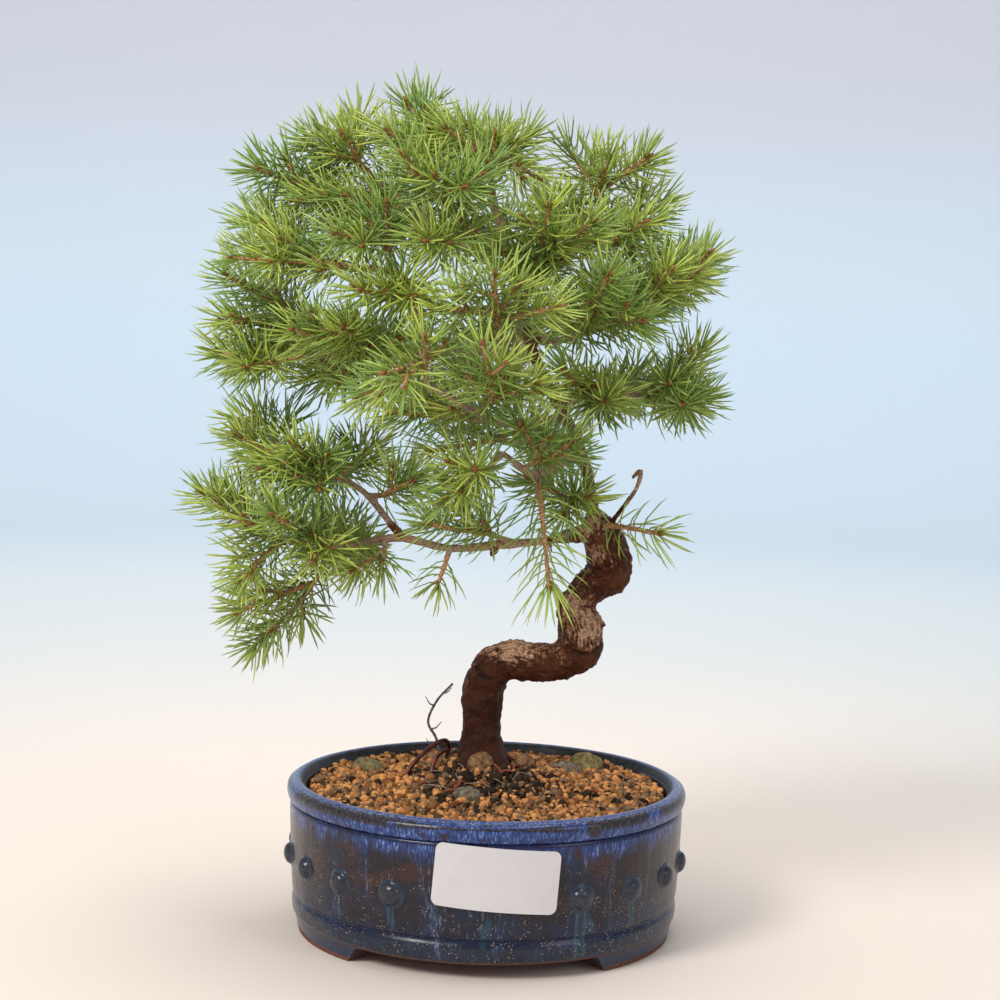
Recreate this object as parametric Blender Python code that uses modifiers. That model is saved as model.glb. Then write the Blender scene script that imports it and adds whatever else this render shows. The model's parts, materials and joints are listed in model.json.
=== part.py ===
"""A spruce bonsai with a coiled trunk, growing in a round glazed drum pot.

The tree is one woody body of trunk, leader and limbs. Its needled sprays begin at short pegs on
the limbs. The trunk's foot, two tie wires and a dry twig stand in plain holes in the soil, and
the soil fills the pot. Sizes are in millimetres here and become metres in the meshes. Places are
given from the point on the ground under the middle of the pot, with the front at -Y. At the end
all is moved so that the origin is under the middle of the whole object.
"""

import math

import bmesh
import bpy
import numpy as np
from mathutils import Matrix, Quaternion, Vector, noise

MM = 0.001
GAP = 0.3

# Pot
RIM_RADIUS = 89.0
POT_HEIGHT = 66.8
POT_SIDES = 40
WALL = 7.0
# The outer wall as (height, radius): base band, belly, collar and lip
POT_WALL = [
    (7.2, 84.2),
    (9.5, 85.6),
    (14.0, 86.0),
    (17.0, 84.9),
    (19.5, 86.1),
    (34.0, 86.8),
    (55.0, 87.6),
    (57.6, 86.7),
    (58.8, 88.1),
    (62.0, 89.0),
    (64.8, 88.5),
    (66.8, 85.6),
]
FLOOR_UNDERSIDE = 7.2
FLOOR_THICKNESS = 6.5
FOOT_OUTER_RADIUS = 84.6
FOOT_WIDTH = 13.0
FOOT_COUNT = 3
FOOT_SPAN = math.radians(46)
FIRST_FOOT = math.radians(-62)
DRAIN_RADIUS = 8.0
DRAIN_OFFSET = 34.0
STUD_COUNT = 20
STUDS_UNDER_LABEL = 2
STUD_RADIUS = 4.7
STUD_RISE = 3.4
STUD_SUNK = 1.2
STUD_HEIGHT = 34.0
STUD_FIRST = math.radians(-8)

# Soil
SOIL_EDGE_HEIGHT = 62.6
SOIL_RINGS = 6
SOIL_SECTORS = 28
MOUND_RISE = 10.5
MOUND_SPREAD = 30.0
MOUND_CENTRE = (-2.0, 12.0)
GRAIN_RELIEF = 1.1
GRAIN_SIZE = 12.0
# Stones on the soil: where they lie, their half-length, half-width, turn and rise
STONES = [
    ((-55.0, 26.0), 9.0, 5.0, -25.0, 5.0),
    ((46.0, 44.0), 9.0, 5.5, 20.0, 6.5),
    ((36.0, 28.0), 8.0, 4.5, 5.0, 4.0),
    ((-8.0, -30.0), 7.0, 5.0, -30.0, 4.0),
]

# Blank sticker on the front of the pot
LABEL_WIDTH = 52.0
LABEL_HEIGHT = 26.2
LABEL_THICKNESS = 0.5
LABEL_CENTRE_HEIGHT = 43.6
LABEL_RADIUS = 88.0
LABEL_AZIMUTH = math.radians(3.5)
LABEL_TILT = math.radians(-4.2)
LABEL_CORNER = 3.0

# Wood: routes as (x, y, z, radius)
TRUNK = [
    (-3, 15, 52, 10.0),
    (-3, 15, 66, 10.6),
    (-3, 15, 75, 10.2),
    (-3, 14, 89, 9.0),
    (-3, 12, 102, 9.2),
    (0, 10, 113, 9.2),
    (8, 8, 119, 9.0),
    (19, 5, 119, 8.8),
    (30, 2, 120, 8.4),
    (39, 0, 126, 10.0),
    (40, -2, 135, 10.2),
    (38, -1, 145, 8.9),
    (44, 2, 154, 8.2),
    (52, 3, 161, 10.2),
    (51, 1, 171, 9.8),
    (46, -2, 182, 7.4),
    (44, -2, 188, 3.4),
    (43, -2, 193, 2.7),
    (40, 0, 208, 2.6),
    (34, 3, 223, 2.6),
    (26, 4, 237, 2.6),
    (18, 2, 252, 2.4),
    (12, 0, 267, 2.2),
    (7, 0, 285, 2.0),
    (3, -2, 302, 1.8),
    (-2, -2, 317, 1.6),
    (-5, -3, 330, 1.4),
]
LEADER_START = 16
ROOTS = [
    [(-3, 15, 78, 7.0), (-8, 5, 72, 5.0), (-12, -3, 65, 3.4), (-13, -6, 56, 2.6)],
    [(-3, 15, 78, 7.0), (3, 6, 73, 6.0), (7, 0, 67, 4.2), (8, -2, 57, 2.8)],
    [(-3, 15, 76, 6.0), (8, 17, 70, 4.2), (14, 18, 62, 3.2), (15, 18, 55, 2.4)],
    [(-3, 15, 76, 6.0), (-8, 24, 70, 4.0), (-11, 30, 62, 3.0), (-12, 32, 55, 2.4)],
]
SNAG = [
    (48, -4, 178, 2.6),
    (54, -8, 187, 1.3),
    (62, -10, 199, 1.2),
    (64, -8, 207, 0.9),
    (61, -4, 204, 0.7),
]
LIMBS = {
    "low_left": [
        (45, -4, 179, 4.4),
        (36, -6, 178, 3.6),
        (23, -8, 175, 1.7),
        (3, -10, 173, 2.1),
        (-19, -12, 171, 1.6),
        (-40, -14, 175, 1.8),
        (-55, -12, 173, 1.5),
        (-69, -8, 170, 1.3),
    ],
    "mid_left": [(-40, -14, 175, 1.6), (-54, -8, 191, 1.4), (-64, -4, 198, 1.3), (-81, 2, 206, 1.2)],
    "left_shelf": [
        (15, 2, 257, 1.8),
        (-13, 4, 257, 1.6),
        (-39, 2, 256, 1.5),
        (-60, 0, 254, 1.4),
        (-82, -4, 253, 1.2),
    ],
    "upper_left": [(9, -2, 278, 1.8), (-22, -24, 275, 1.6), (-38, -34, 285, 1.5), (-47, -40, 293, 1.3)],
    "top_left": [(5, 0, 294, 1.7), (-21, 6, 306, 1.5), (-41, 8, 321, 1.4), (-57, 6, 332, 1.2)],
    "front_top": [(3, -2, 302, 1.6), (-12, -24, 311, 1.4), (-20, -36, 316, 1.2)],
    "top_right": [(9, 1, 281, 1.8), (24, 6, 294, 1.5), (35, 8, 305, 1.4), (42, 8, 317, 1.2)],
    "right": [(12, 0, 263, 1.8), (30, 0, 264, 1.5), (45, 0, 270, 1.4), (58, -2, 279, 1.2)],
    "right_mid": [(28, 4, 233, 1.8), (42, 6, 243, 1.6), (59, 8, 240, 1.4), (72, 5, 236, 1.2)],
    "front": [
        (29, 3, 229, 1.8),
        (3, -38, 227, 1.6),
        (-7, -52, 231, 1.4),
        (-18, -66, 238, 1.3),
        (-29, -76, 244, 1.2),
    ],
    "front_high": [(11, 0, 272, 1.7), (4, -36, 262, 1.4), (0, -62, 262, 1.2)],
    "front_low": [(37, 1, 213, 1.8), (18, -34, 206, 1.5), (3, -50, 215, 1.2)],
    "back": [(18, 2, 252, 1.8), (14, 30, 256, 1.5), (10, 52, 262, 1.2)],
    "back_high": [(5, 0, 294, 1.6), (4, 26, 302, 1.4), (2, 44, 310, 1.2)],
    "back_low": [(37, 1, 213, 1.7), (24, 26, 214, 1.4), (8, 44, 216, 1.2)],
}

# Sprays: the route of the leading twig from the limb's axis to its bud, then the buds of its forks
SPRAYS = {
    "low_left_1": ([(-69, -8, 170), (-86, 6, 148), (-108, 10, 121)], [(-113, -6, 139)]),
    "low_left_2": (
        [(-69, -8, 170), (-105, -20, 182), (-128, -14, 192)],
        [(-110, -26, 156), (-114, 2, 190)],
    ),
    "low_left_3": ([(-60, -11, 172), (-80, -30, 181), (-92, -54, 187)], [(-76, -42, 167)]),
    "low_left_4": ([(-47, -13, 174), (-48, -26, 163)], [(-60, -32, 162)]),
    "low_left_5": ([(-19, -12, 171), (-24, -20, 155)], []),
    "low_left_6": ([(-55, -12, 173), (-64, 14, 170), (-86, 34, 164)], [(-72, 44, 178), (-62, 34, 160)]),
    "low_left_7": ([(8, -9.5, 173.5), (-14, -16, 188)], [(-30, -20, 182)]),
    "mid_left_1": ([(-81, 2, 206), (-115, 0, 218)], [(-110, 26, 227), (-106, 20, 206)]),
    "mid_left_2": ([(-64, -4, 198), (-86, -42, 217)], [(-100, -28, 204), (-74, -42, 198)]),
    "mid_left_3": ([(-56, -7, 192), (-38, 12, 198)], [(-36, -12, 200)]),
    "mid_left_4": ([(-66, -3, 199), (-76, 38, 206)], [(-56, 44, 214)]),
    "left_shelf_1": ([(-82, -4, 253), (-124, -8, 254)], [(-118, 16, 262), (-108, -28, 248)]),
    "left_shelf_2": ([(-62, 0, 254), (-92, -6, 276), (-120, -10, 288)], [(-124, 8, 268), (-98, 20, 268)]),
    "left_shelf_3": ([(-45, 2, 256), (-64, -54, 266)], [(-86, -42, 264), (-42, -44, 262)]),
    "left_shelf_4": ([(-56, 1, 254), (-86, 14, 243)], [(-68, -20, 243)]),
    "left_shelf_5": ([(-45, 2, 256), (-78, 58, 260)], [(-102, 38, 256), (-54, 54, 262)]),
    "upper_left_1": ([(-47, -40, 293), (-48, -52, 317)], [(-68, -62, 304)]),
    "upper_left_2": (
        [(-44, -38, 290), (-75, -32, 298), (-103, -22, 310)],
        [(-113, -36, 294), (-112, 4, 313)],
    ),
    "upper_left_3": ([(-36, -33, 284), (-56, -70, 281)], [(-34, -76, 279)]),
    "top_left_1": ([(-57, 6, 332), (-70, -6, 350)], [(-88, 10, 349), (-66, 26, 361)]),
    "top_left_2": ([(-41, 8, 321), (-66, -24, 322)], [(-88, -14, 320)]),
    "top_left_3": ([(-49, 7, 326), (-108, 2, 335)], [(-94, 30, 330)]),
    "top_left_4": ([(-30, 7, 312), (-52, 58, 322)], [(-76, 54, 308), (-50, 44, 340)]),
    "top_1": ([(-5, -3, 330), (-4, -16, 350)], [(11, 4, 353), (-25, -22, 352), (-12, 28, 352), (16, -14, 332)]),
    "top_2": ([(-4, -3, 324), (-43, 6, 366)], [(-51, -16, 351), (-36, 32, 354)]),
    "front_top_1": ([(-20, -36, 316), (-41, -62, 337)], [(-15, -78, 323)]),
    "front_top_2": ([(-14, -27, 312), (-30, -80, 301)], [(-6, -58, 334)]),
    "top_right_1": ([(42, 8, 317), (46, 4, 345)], [(28, 18, 350), (63, -4, 344)]),
    "top_right_2": ([(36, 8, 307), (61, -28, 314)], [(72, 14, 326)]),
    "top_right_3": ([(18, 4, 289), (16, -40, 302), (19, -70, 317)], [(-2, -54, 300), (38, -56, 312)]),
    "top_right_4": ([(33, 8, 303), (50, 52, 322)], [(22, 54, 330), (68, 40, 306)]),
    "right_1": ([(58, -2, 279), (91, -8, 303)], [(86, 22, 304), (90, 12, 292)]),
    "right_2": ([(50, -1, 274), (72, -36, 294)], [(84, -22, 294)]),
    "right_3": ([(32, 0, 264), (44, -64, 290)], [(60, -50, 272), (26, -54, 276)]),
    "right_4": ([(42, 0, 269), (70, 50, 286)], [(80, 36, 292), (44, 60, 290)]),
    "right_mid_1": ([(72, 5, 236), (93, 0, 239)], [(84, 26, 240), (80, -22, 237)]),
    "right_mid_2": ([(60, 8, 240), (85, 10, 250), (91, 10, 261)], [(74, -24, 246)]),
    "right_mid_3": ([(40, 6, 242), (46, -40, 238)], [(28, -44, 250)]),
    "right_mid_4": ([(48, 7, 242), (66, 52, 250)], [(44, 60, 240), (78, 44, 234)]),
    "front_1": ([(-29, -76, 244), (-29, -92, 262)], [(-56, -74, 238), (-44, -96, 248)]),
    "front_2": ([(-8, -54, 232), (-2, -82, 244), (-6, -99, 260)], [(16, -88, 246)]),
    "front_3": ([(4, -36, 227), (-34, -42, 238)], [(-44, -30, 230)]),
    "front_high_1": ([(0, -62, 262), (-2, -92, 288)], [(24, -84, 276), (-26, -82, 274)]),
    "front_low_1": ([(3, -50, 215), (-22, -70, 196)], [(-8, -82, 210)]),
    "front_low_2": ([(18, -34, 206), (21, -50, 188), (24, -56, 160)], []),
    "front_low_3": ([(12, -40, 210), (32, -62, 222)], [(10, -74, 228)]),
    "right_low_1": ([(46, -8, 183), (56, -16, 185), (72, -24, 181)], []),
    "trunk_top_1": ([(43, -2, 193), (32, -14, 197), (15, -20, 203)], [(30, -30, 188)]),
    "back_1": ([(10, 52, 262), (4, 88, 272)], [(-20, 78, 266), (28, 82, 264)]),
    "back_2": ([(15, 24, 255), (-24, 50, 240)], [(-38, 44, 256)]),
    "back_high_1": ([(2, 44, 310), (0, 78, 322)], [(-26, 74, 312), (26, 74, 308)]),
    "back_low_1": ([(8, 44, 216), (-12, 72, 222)], [(-32, 52, 210), (22, 74, 224)]),
    "back_low_2": ([(26, 22, 214), (38, 46, 210)], [(20, 44, 196)]),
}

PEG_LENGTH = 5.0
PEG_RADIUS = 1.25
TWIG_RADIUS = 1.2
TWIG_TIP_RADIUS = 1.0
BUD_RADIUS = 1.5
BUD_LENGTH = 2.4
NEEDLE_LENGTH = 16.0
NEEDLE_RADIUS = 0.55
NEEDLE_SPACING = 10.6
BARE_STARTS = (3.0, 6.0)
NEEDLE_CLEARANCE = 1.2
FACE_ORDER = (0, 2, 1, 3)
# Turns in quarters round the twig and leans in degrees, in the order they are tried
TIP_LEAN = 26
TRIES = [(0, 60), (0, 46), (1, 60), (2, 60), (3, 60), (0, 34), (1, 46), (2, 46), (3, 46)]
BOW = 0.07
FORK_START = 0.34
FORK_STEP = 0.14

# Tie wires and the dry twig, which stand in the soil
WIRE_RADIUS = 1.0
WIRES = {
    "tie_wire_1": [
        (-36, 2, 58),
        (-36, 2, 67),
        (-29, 6, 76),
        (-21, 10, 81),
        (-18, 17, 78),
        (-19, 22, 68),
        (-19, 22, 61),
    ],
    "tie_wire_2": [(-25, 0, 58), (-25, 0, 68), (-23, 3, 75), (-18, 2, 79)],
}
DRY_TWIG = [
    (-22, 30, 58, 0.7),
    (-22, 30, 68, 0.7),
    (-24, 30, 78, 0.65),
    (-28, 30, 86, 0.6),
    (-24, 30, 96, 0.55),
    (-17, 30, 104, 0.5),
]

COLOURS = {
    "glaze": ((0.035, 0.06, 0.16), 0.18),
    "grit": ((0.42, 0.22, 0.09), 0.9),
    "bark": ((0.16, 0.075, 0.045), 0.8),
    "needles": ((0.20, 0.36, 0.06), 0.45),
    "label": ((0.86, 0.84, 0.84), 0.35),
    "wire": ((0.16, 0.05, 0.04), 0.4),
    "dry_wood": ((0.26, 0.25, 0.22), 0.85),
}


def clear_scene():
    for old in list(bpy.data.objects):
        bpy.data.objects.remove(old)


def new_collection(name, hidden=False):
    made = bpy.data.collections.new(name)
    made.hide_render = hidden
    bpy.context.scene.collection.children.link(made)
    return made


def make_material(name):
    colour, roughness = COLOURS[name]
    made = bpy.data.materials.new(name)
    made.use_nodes = True
    shader = made.node_tree.nodes["Principled BSDF"]
    shader.inputs["Base Color"].default_value = (*colour, 1.0)
    shader.inputs["Roughness"].default_value = roughness
    shader.inputs["Metallic"].default_value = 0.6 if name == "wire" else 0.0
    return made


def link(obj, collection, material=None):
    collection.objects.link(obj)
    if collection.hide_render:
        obj.hide_render = True
        obj.display_type = "WIRE"
    if material is not None:
        obj.data.materials.clear()
        obj.data.materials.append(material)
    return obj


def object_from_bmesh(name, shape, collection, material=None):
    mesh = bpy.data.meshes.new(name)
    shape.to_mesh(mesh)
    shape.free()
    return link(bpy.data.objects.new(name, mesh), collection, material)


def applied(obj):
    """The object with its modifiers made part of its mesh."""
    bpy.context.view_layer.update()
    graph = bpy.context.evaluated_depsgraph_get()
    mesh = bpy.data.meshes.new_from_object(obj.evaluated_get(graph))
    obj.modifiers.clear()
    obj.data = mesh
    return obj


def on_one_origin(collection):
    """Moves everything so that the origin is under the middle of the whole object's box."""
    bpy.context.view_layer.update()
    places = [obj.matrix_world @ v.co for obj in collection.objects for v in obj.data.vertices]
    middle = [(min(p[i] for p in places) + max(p[i] for p in places)) / 2 for i in (0, 1)]
    for obj in collection.objects:
        obj.location.x -= middle[0]
        obj.location.y -= middle[1]


def joined(obj, operation, collection, solver):
    """Applies one Boolean with every object of the collection, then removes them."""
    modifier = obj.modifiers.new("join", "BOOLEAN")
    modifier.operation = operation
    modifier.operand_type = "COLLECTION"
    modifier.collection = collection
    modifier.solver = solver
    materials = list(obj.data.materials)
    applied(obj)
    obj.data.materials.clear()
    for material in materials:
        obj.data.materials.append(material)
    for other in list(collection.objects):
        bpy.data.objects.remove(other)
    bpy.data.collections.remove(collection)
    return obj


def smooth_route(points, per_span):
    """Catmull-Rom samples through points of any number of values each."""
    given = [np.array(p, float) for p in points]
    ends = [2 * given[0] - given[1], *given, 2 * given[-1] - given[-2]]
    found = []
    for i in range(1, len(ends) - 2):
        a, b, c, d = ends[i - 1 : i + 3]
        slope, bend, twist = c - a, 2 * a - 5 * b + 4 * c - d, 3 * b - a - 3 * c + d
        for step in range(per_span):
            t = step / per_span
            found.append(0.5 * (2 * b + slope * t + bend * t**2 + twist * t**3))
    found.append(given[-1])
    return found


def tube(name, route, sides_level, collection, material=None, extra=0.0, tilt=0.0):
    """A closed mesh round a route of (x, y, z, radius), made from a bevelled curve."""
    curve = bpy.data.curves.new(name, "CURVE")
    curve.dimensions = "3D"
    curve.bevel_depth = MM
    curve.bevel_resolution = sides_level
    curve.use_fill_caps = True
    spline = curve.splines.new("POLY")
    spline.points.add(len(route) - 1)
    for point, (x, y, z, radius) in zip(spline.points, route):
        point.co = (x * MM, y * MM, z * MM, 1.0)
        point.radius = radius + extra
        point.tilt = tilt
    bent = bpy.data.objects.new(name + "_curve", curve)
    bpy.context.scene.collection.objects.link(bent)
    bpy.context.view_layer.update()
    graph = bpy.context.evaluated_depsgraph_get()
    mesh = bpy.data.meshes.new_from_object(bent.evaluated_get(graph))
    bpy.data.objects.remove(bent)
    shape = bmesh.new()
    shape.from_mesh(mesh)
    bmesh.ops.remove_doubles(shape, verts=shape.verts, dist=1e-6)
    bmesh.ops.recalc_face_normals(shape, faces=shape.faces)
    bmesh.ops.triangulate(shape, faces=shape.faces)
    bpy.data.meshes.remove(mesh)
    return object_from_bmesh(name, shape, collection, material)


def shade(obj, angle=math.radians(40)):
    obj.data.shade_smooth()
    obj.data.set_sharp_from_angle(angle=angle)
    return obj


def pot_outer_radius(z):
    """The pot's outer wall: the lip over a collar, a shallow belly and a base band."""
    heights, radii = zip(*POT_WALL)
    return float(np.interp(z, heights, radii))


def make_pot(collection, material):
    """A turned bowl with three feet, a row of studs and two drain holes."""
    floor = FLOOR_UNDERSIDE + FLOOR_THICKNESS
    inner = RIM_RADIUS - WALL
    outline = [(0.0, floor), (inner - 9, floor), (inner - 1.6, floor + 12), (inner - 0.6, 48)]
    outline += [(inner - 1.6, 61), (inner + 1.0, POT_HEIGHT)]
    outline += [(radius, z) for z, radius in reversed(POT_WALL)]
    outline += [(0.0, FLOOR_UNDERSIDE)]
    shape = bmesh.new()
    corners = [shape.verts.new((r * MM, 0, z * MM)) for r, z in outline]
    for pair in zip(corners, corners[1:]):
        shape.edges.new(pair)
    pot = object_from_bmesh("pot", shape, collection, material)
    turning = pot.modifiers.new("turning", "SCREW")
    turning.steps = POT_SIDES
    turning.render_steps = POT_SIDES
    turning.use_merge_vertices = True
    turning.merge_threshold = 1e-5
    applied(pot)

    extras = new_collection("pot_extras", hidden=True)
    for index in range(FOOT_COUNT):
        make_foot(FIRST_FOOT + index * math.tau / FOOT_COUNT, extras)
    for index in range(STUDS_UNDER_LABEL, STUD_COUNT):
        make_stud(STUD_FIRST + index * math.tau / STUD_COUNT, extras)
    joined(pot, "UNION", extras, "EXACT")

    drains = new_collection("drains", hidden=True)
    for side in (-1, 1):
        shape = bmesh.new()
        place = Matrix.Translation((side * DRAIN_OFFSET * MM, 0, floor * MM / 2))
        bmesh.ops.create_cone(
            shape,
            cap_ends=True,
            segments=10,
            radius1=DRAIN_RADIUS * MM,
            radius2=DRAIN_RADIUS * MM,
            depth=4 * floor * MM,
            matrix=place,
        )
        object_from_bmesh(f"drain_{side}", shape, drains)
    joined(pot, "DIFFERENCE", drains, "EXACT")
    return shade(pot)


def from_front(azimuth, radius, height=0.0):
    """A point round the pot, by its angle from the front, positive to the right."""
    return Vector((radius * math.sin(azimuth), -radius * math.cos(azimuth), height))


def make_foot(middle, collection):
    """One foot: an arc of the pot's foot ring, narrower at the ground."""
    steps = 6
    inside = FOOT_OUTER_RADIUS - FOOT_WIDTH
    shape = bmesh.new()
    bottom, top = [], []
    for ring, spread, height, inset in ((bottom, 0.84, 0.0, 1.6), (top, 1.0, FLOOR_UNDERSIDE + 2.0, 0.0)):
        for radius, order in ((FOOT_OUTER_RADIUS - inset, 1), (inside + inset, -1)):
            turns = [middle + FOOT_SPAN * spread * (i / steps - 0.5) for i in range(steps + 1)][::order]
            ring += [shape.verts.new(from_front(a, radius, height) * MM) for a in turns]
    shape.faces.new(bottom)
    shape.faces.new(top)
    for i in range(len(bottom)):
        j = (i + 1) % len(bottom)
        shape.faces.new((bottom[i], bottom[j], top[j], top[i]))
    bmesh.ops.recalc_face_normals(shape, faces=shape.faces)
    object_from_bmesh("foot", shape, collection)


def make_stud(azimuth, collection):
    """A flattened dome, sunk into the wall."""
    shape = bmesh.new()
    bmesh.ops.create_uvsphere(shape, u_segments=8, v_segments=4, radius=1.0)
    wall = pot_outer_radius(STUD_HEIGHT) - STUD_SUNK
    facing = Matrix.Rotation(azimuth, 4, "Z") @ Matrix.Rotation(math.pi / 2, 4, "X")
    size = Matrix.Diagonal((STUD_RADIUS * MM, STUD_RADIUS * MM, (STUD_RISE + STUD_SUNK) * MM, 1.0))
    place = Matrix.Translation(from_front(azimuth, wall, STUD_HEIGHT) * MM)
    bmesh.ops.transform(shape, matrix=place @ facing @ size, verts=shape.verts)
    object_from_bmesh("stud", shape, collection)


def soil_height(x, y):
    """The soil's surface: a mound round the trunk, stones and coarse grains."""
    away = math.hypot(x - MOUND_CENTRE[0], y - MOUND_CENTRE[1])
    height = SOIL_EDGE_HEIGHT + MOUND_RISE * math.exp(-((away / MOUND_SPREAD) ** 2))
    height += GRAIN_RELIEF * noise.noise(Vector((x, y, 0)) / GRAIN_SIZE)
    for (sx, sy), length, width, turn, rise in STONES:
        along = Vector((x - sx, y - sy)).to_3d()
        along.rotate(Quaternion((0, 0, 1), -math.radians(turn)))
        reach = (along.x / length) ** 2 + (along.y / width) ** 2
        height += rise * max(0.0, 1 - reach) ** 0.5 if reach < 1 else 0.0
    return height


def make_soil(collection, material, standing):
    """The filled inside of the pot, with a plain hole for each thing that stands in it."""
    floor = FLOOR_UNDERSIDE + FLOOR_THICKNESS + GAP
    inner = RIM_RADIUS - WALL - GAP
    sides = [(inner - 10, floor), (inner - 2.4, floor + 12), (inner - 1.4, 48), (inner - 2.2, 60.5)]
    shape = bmesh.new()
    turns = [math.tau * i / SOIL_SECTORS for i in range(SOIL_SECTORS)]
    rings = [[shape.verts.new(from_front(a, r, z) * MM) for a in turns] for r, z in sides]
    widest = sides[-1][0] - 0.4
    for ring in range(SOIL_RINGS, 0, -1):
        radius = widest * ring / SOIL_RINGS
        level = []
        for a in turns:
            place = from_front(a, radius)
            place.z = soil_height(place.x, place.y)
            level.append(shape.verts.new(place * MM))
        rings.append(level)
    for low, high in zip(rings, rings[1:]):
        for i in range(SOIL_SECTORS):
            j = (i + 1) % SOIL_SECTORS
            shape.faces.new((low[i], low[j], high[j], high[i]))
    shape.faces.new(rings[0])
    middle = shape.verts.new((0, 0, soil_height(0, 0) * MM))
    for i in range(SOIL_SECTORS):
        shape.faces.new((rings[-1][i], rings[-1][(i + 1) % SOIL_SECTORS], middle))
    bmesh.ops.recalc_face_normals(shape, faces=shape.faces)
    soil = object_from_bmesh("soil", shape, collection, material)
    return shade(joined(soil, "DIFFERENCE", standing, "EXACT"))


def make_label(collection, material):
    """A thin slab with round corners, bent round the pot's wall."""
    half_x, half_z = LABEL_WIDTH / 2, LABEL_HEIGHT / 2
    outline = []
    for corner_x, corner_z, start in ((1, 1, 0), (-1, 1, 90), (-1, -1, 180), (1, -1, 270)):
        for turn in range(0, 91, 30):
            angle = math.radians(start + turn)
            across = corner_x * (half_x - LABEL_CORNER) + LABEL_CORNER * math.cos(angle)
            up = corner_z * (half_z - LABEL_CORNER) + LABEL_CORNER * math.sin(angle)
            outline.append((across, up))
        if corner_x == corner_z:
            steps = 8
            for i in range(1, steps):
                outline.append((corner_x * (half_x - LABEL_CORNER) * (1 - 2 * i / steps), corner_z * half_z))
    shape = bmesh.new()
    inner, outer = [], []
    for across, up in outline:
        turned_x = across * math.cos(LABEL_TILT) - up * math.sin(LABEL_TILT)
        turned_z = across * math.sin(LABEL_TILT) + up * math.cos(LABEL_TILT)
        height = LABEL_CENTRE_HEIGHT + turned_z
        azimuth = LABEL_AZIMUTH + turned_x / LABEL_RADIUS
        inner.append(shape.verts.new(from_front(azimuth, LABEL_RADIUS, height) * MM))
        outer.append(shape.verts.new(from_front(azimuth, LABEL_RADIUS + LABEL_THICKNESS, height) * MM))
    count = len(outline)
    for i in range(count):
        j = (i + 1) % count
        shape.faces.new((inner[i], inner[j], outer[j], outer[i]))
    fill_strips(shape, inner)
    fill_strips(shape, outer)
    bmesh.ops.recalc_face_normals(shape, faces=shape.faces)
    return object_from_bmesh("label", shape, collection, material)


def fill_strips(shape, loop):
    """Faces across a long closed loop whose upper and lower runs match, from one end to the other."""
    count = len(loop)
    left, right = 0, count - 1
    while right - left > 2:
        shape.faces.new((loop[left], loop[left + 1], loop[right - 1], loop[right]))
        left, right = left + 1, right - 1
    if right - left == 2:
        shape.faces.new((loop[left], loop[left + 1], loop[right]))


def twig_routes(name):
    """The routes of a spray's twigs, the leading one first, each from its root to its bud."""
    lead, forks = SPRAYS[name]
    bent = bowed([Vector(p) for p in smooth_route(lead, 4)])
    main = [bent[0], along(bent, 0.5), bent[-1]]
    roots = [along(main, FORK_START + FORK_STEP * i) for i in range(len(forks))]
    return [main, *([root, Vector(tip)] for root, tip in zip(roots, forks))]


def bowed(route):
    """A twig lifts a little towards its bud."""
    span = (route[-1] - route[0]).length
    count = len(route) - 1
    return [p - Vector((0, 0, BOW * span * math.sin(math.pi * i / count))) for i, p in enumerate(route)]


def length_of(route):
    return sum((b - a).length for a, b in zip(route, route[1:]))


def along(route, share):
    """The point at this share of a route's length."""
    left = share * length_of(route)
    for a, b in zip(route, route[1:]):
        step = (b - a).length
        if left <= step:
            return a.lerp(b, left / step)
        left -= step
    return route[-1].copy()


def cut_start(route, length):
    """The route without its first stretch."""
    return [along(route, length / length_of(route)), *route[1:]]


def twig_with_bud(route):
    """(x, y, z, radius) rows from a twig's root to the point of its bud."""
    radii = np.linspace(TWIG_RADIUS, TWIG_TIP_RADIUS, len(route))
    rows = [(*point, radius) for point, radius in zip(route[:-1], radii)]
    rows.append((*along(route, 1 - BUD_LENGTH / length_of(route)), BUD_RADIUS))
    rows.append((*route[-1], 0.3))
    return rows


def segment_gaps(start, end, starts, ends):
    """The least distance from one segment to each of several."""
    d1, d2, r = end - start, ends - starts, start - starts
    a, e = d1 @ d1, np.einsum("ij,ij->i", d2, d2)
    b, c, f = d2 @ d1, r @ d1, np.einsum("ij,ij->i", d2, r)
    denominator = np.maximum(a * e - b * b, 1e-9)
    s = np.clip((b * f - c * e) / denominator, 0, 1)
    t = np.clip((b * s + f) / np.maximum(e, 1e-9), 0, 1)
    s = np.clip((b * t - c) / a, 0, 1)
    return np.linalg.norm((start + s[:, None] * d1) - (starts + t[:, None] * d2), axis=1)


class Occupied:
    """Segments already in place, each with its owner and radius."""

    def __init__(self):
        self.starts, self.ends, self.radii, self.owners = [], [], [], []

    def add(self, start, end, radius, owner):
        self.starts.append(tuple(start))
        self.ends.append(tuple(end))
        self.radii.append(radius)
        self.owners.append(owner)

    def add_route(self, rows, owner):
        for a, b in zip(rows, rows[1:]):
            self.add(a[:3], b[:3], max(a[3], b[3]), owner)

    def freeze(self):
        self.table = [np.array(column) for column in (self.starts, self.ends, self.radii, self.owners)]

    def is_clear(self, start, end, owner, clearance):
        starts, ends, radii, owners = self.table
        others = owners != owner
        gaps = segment_gaps(np.array(start), np.array(end), starts[others], ends[others])
        return bool((gaps > radii[others] + clearance).all())


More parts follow.
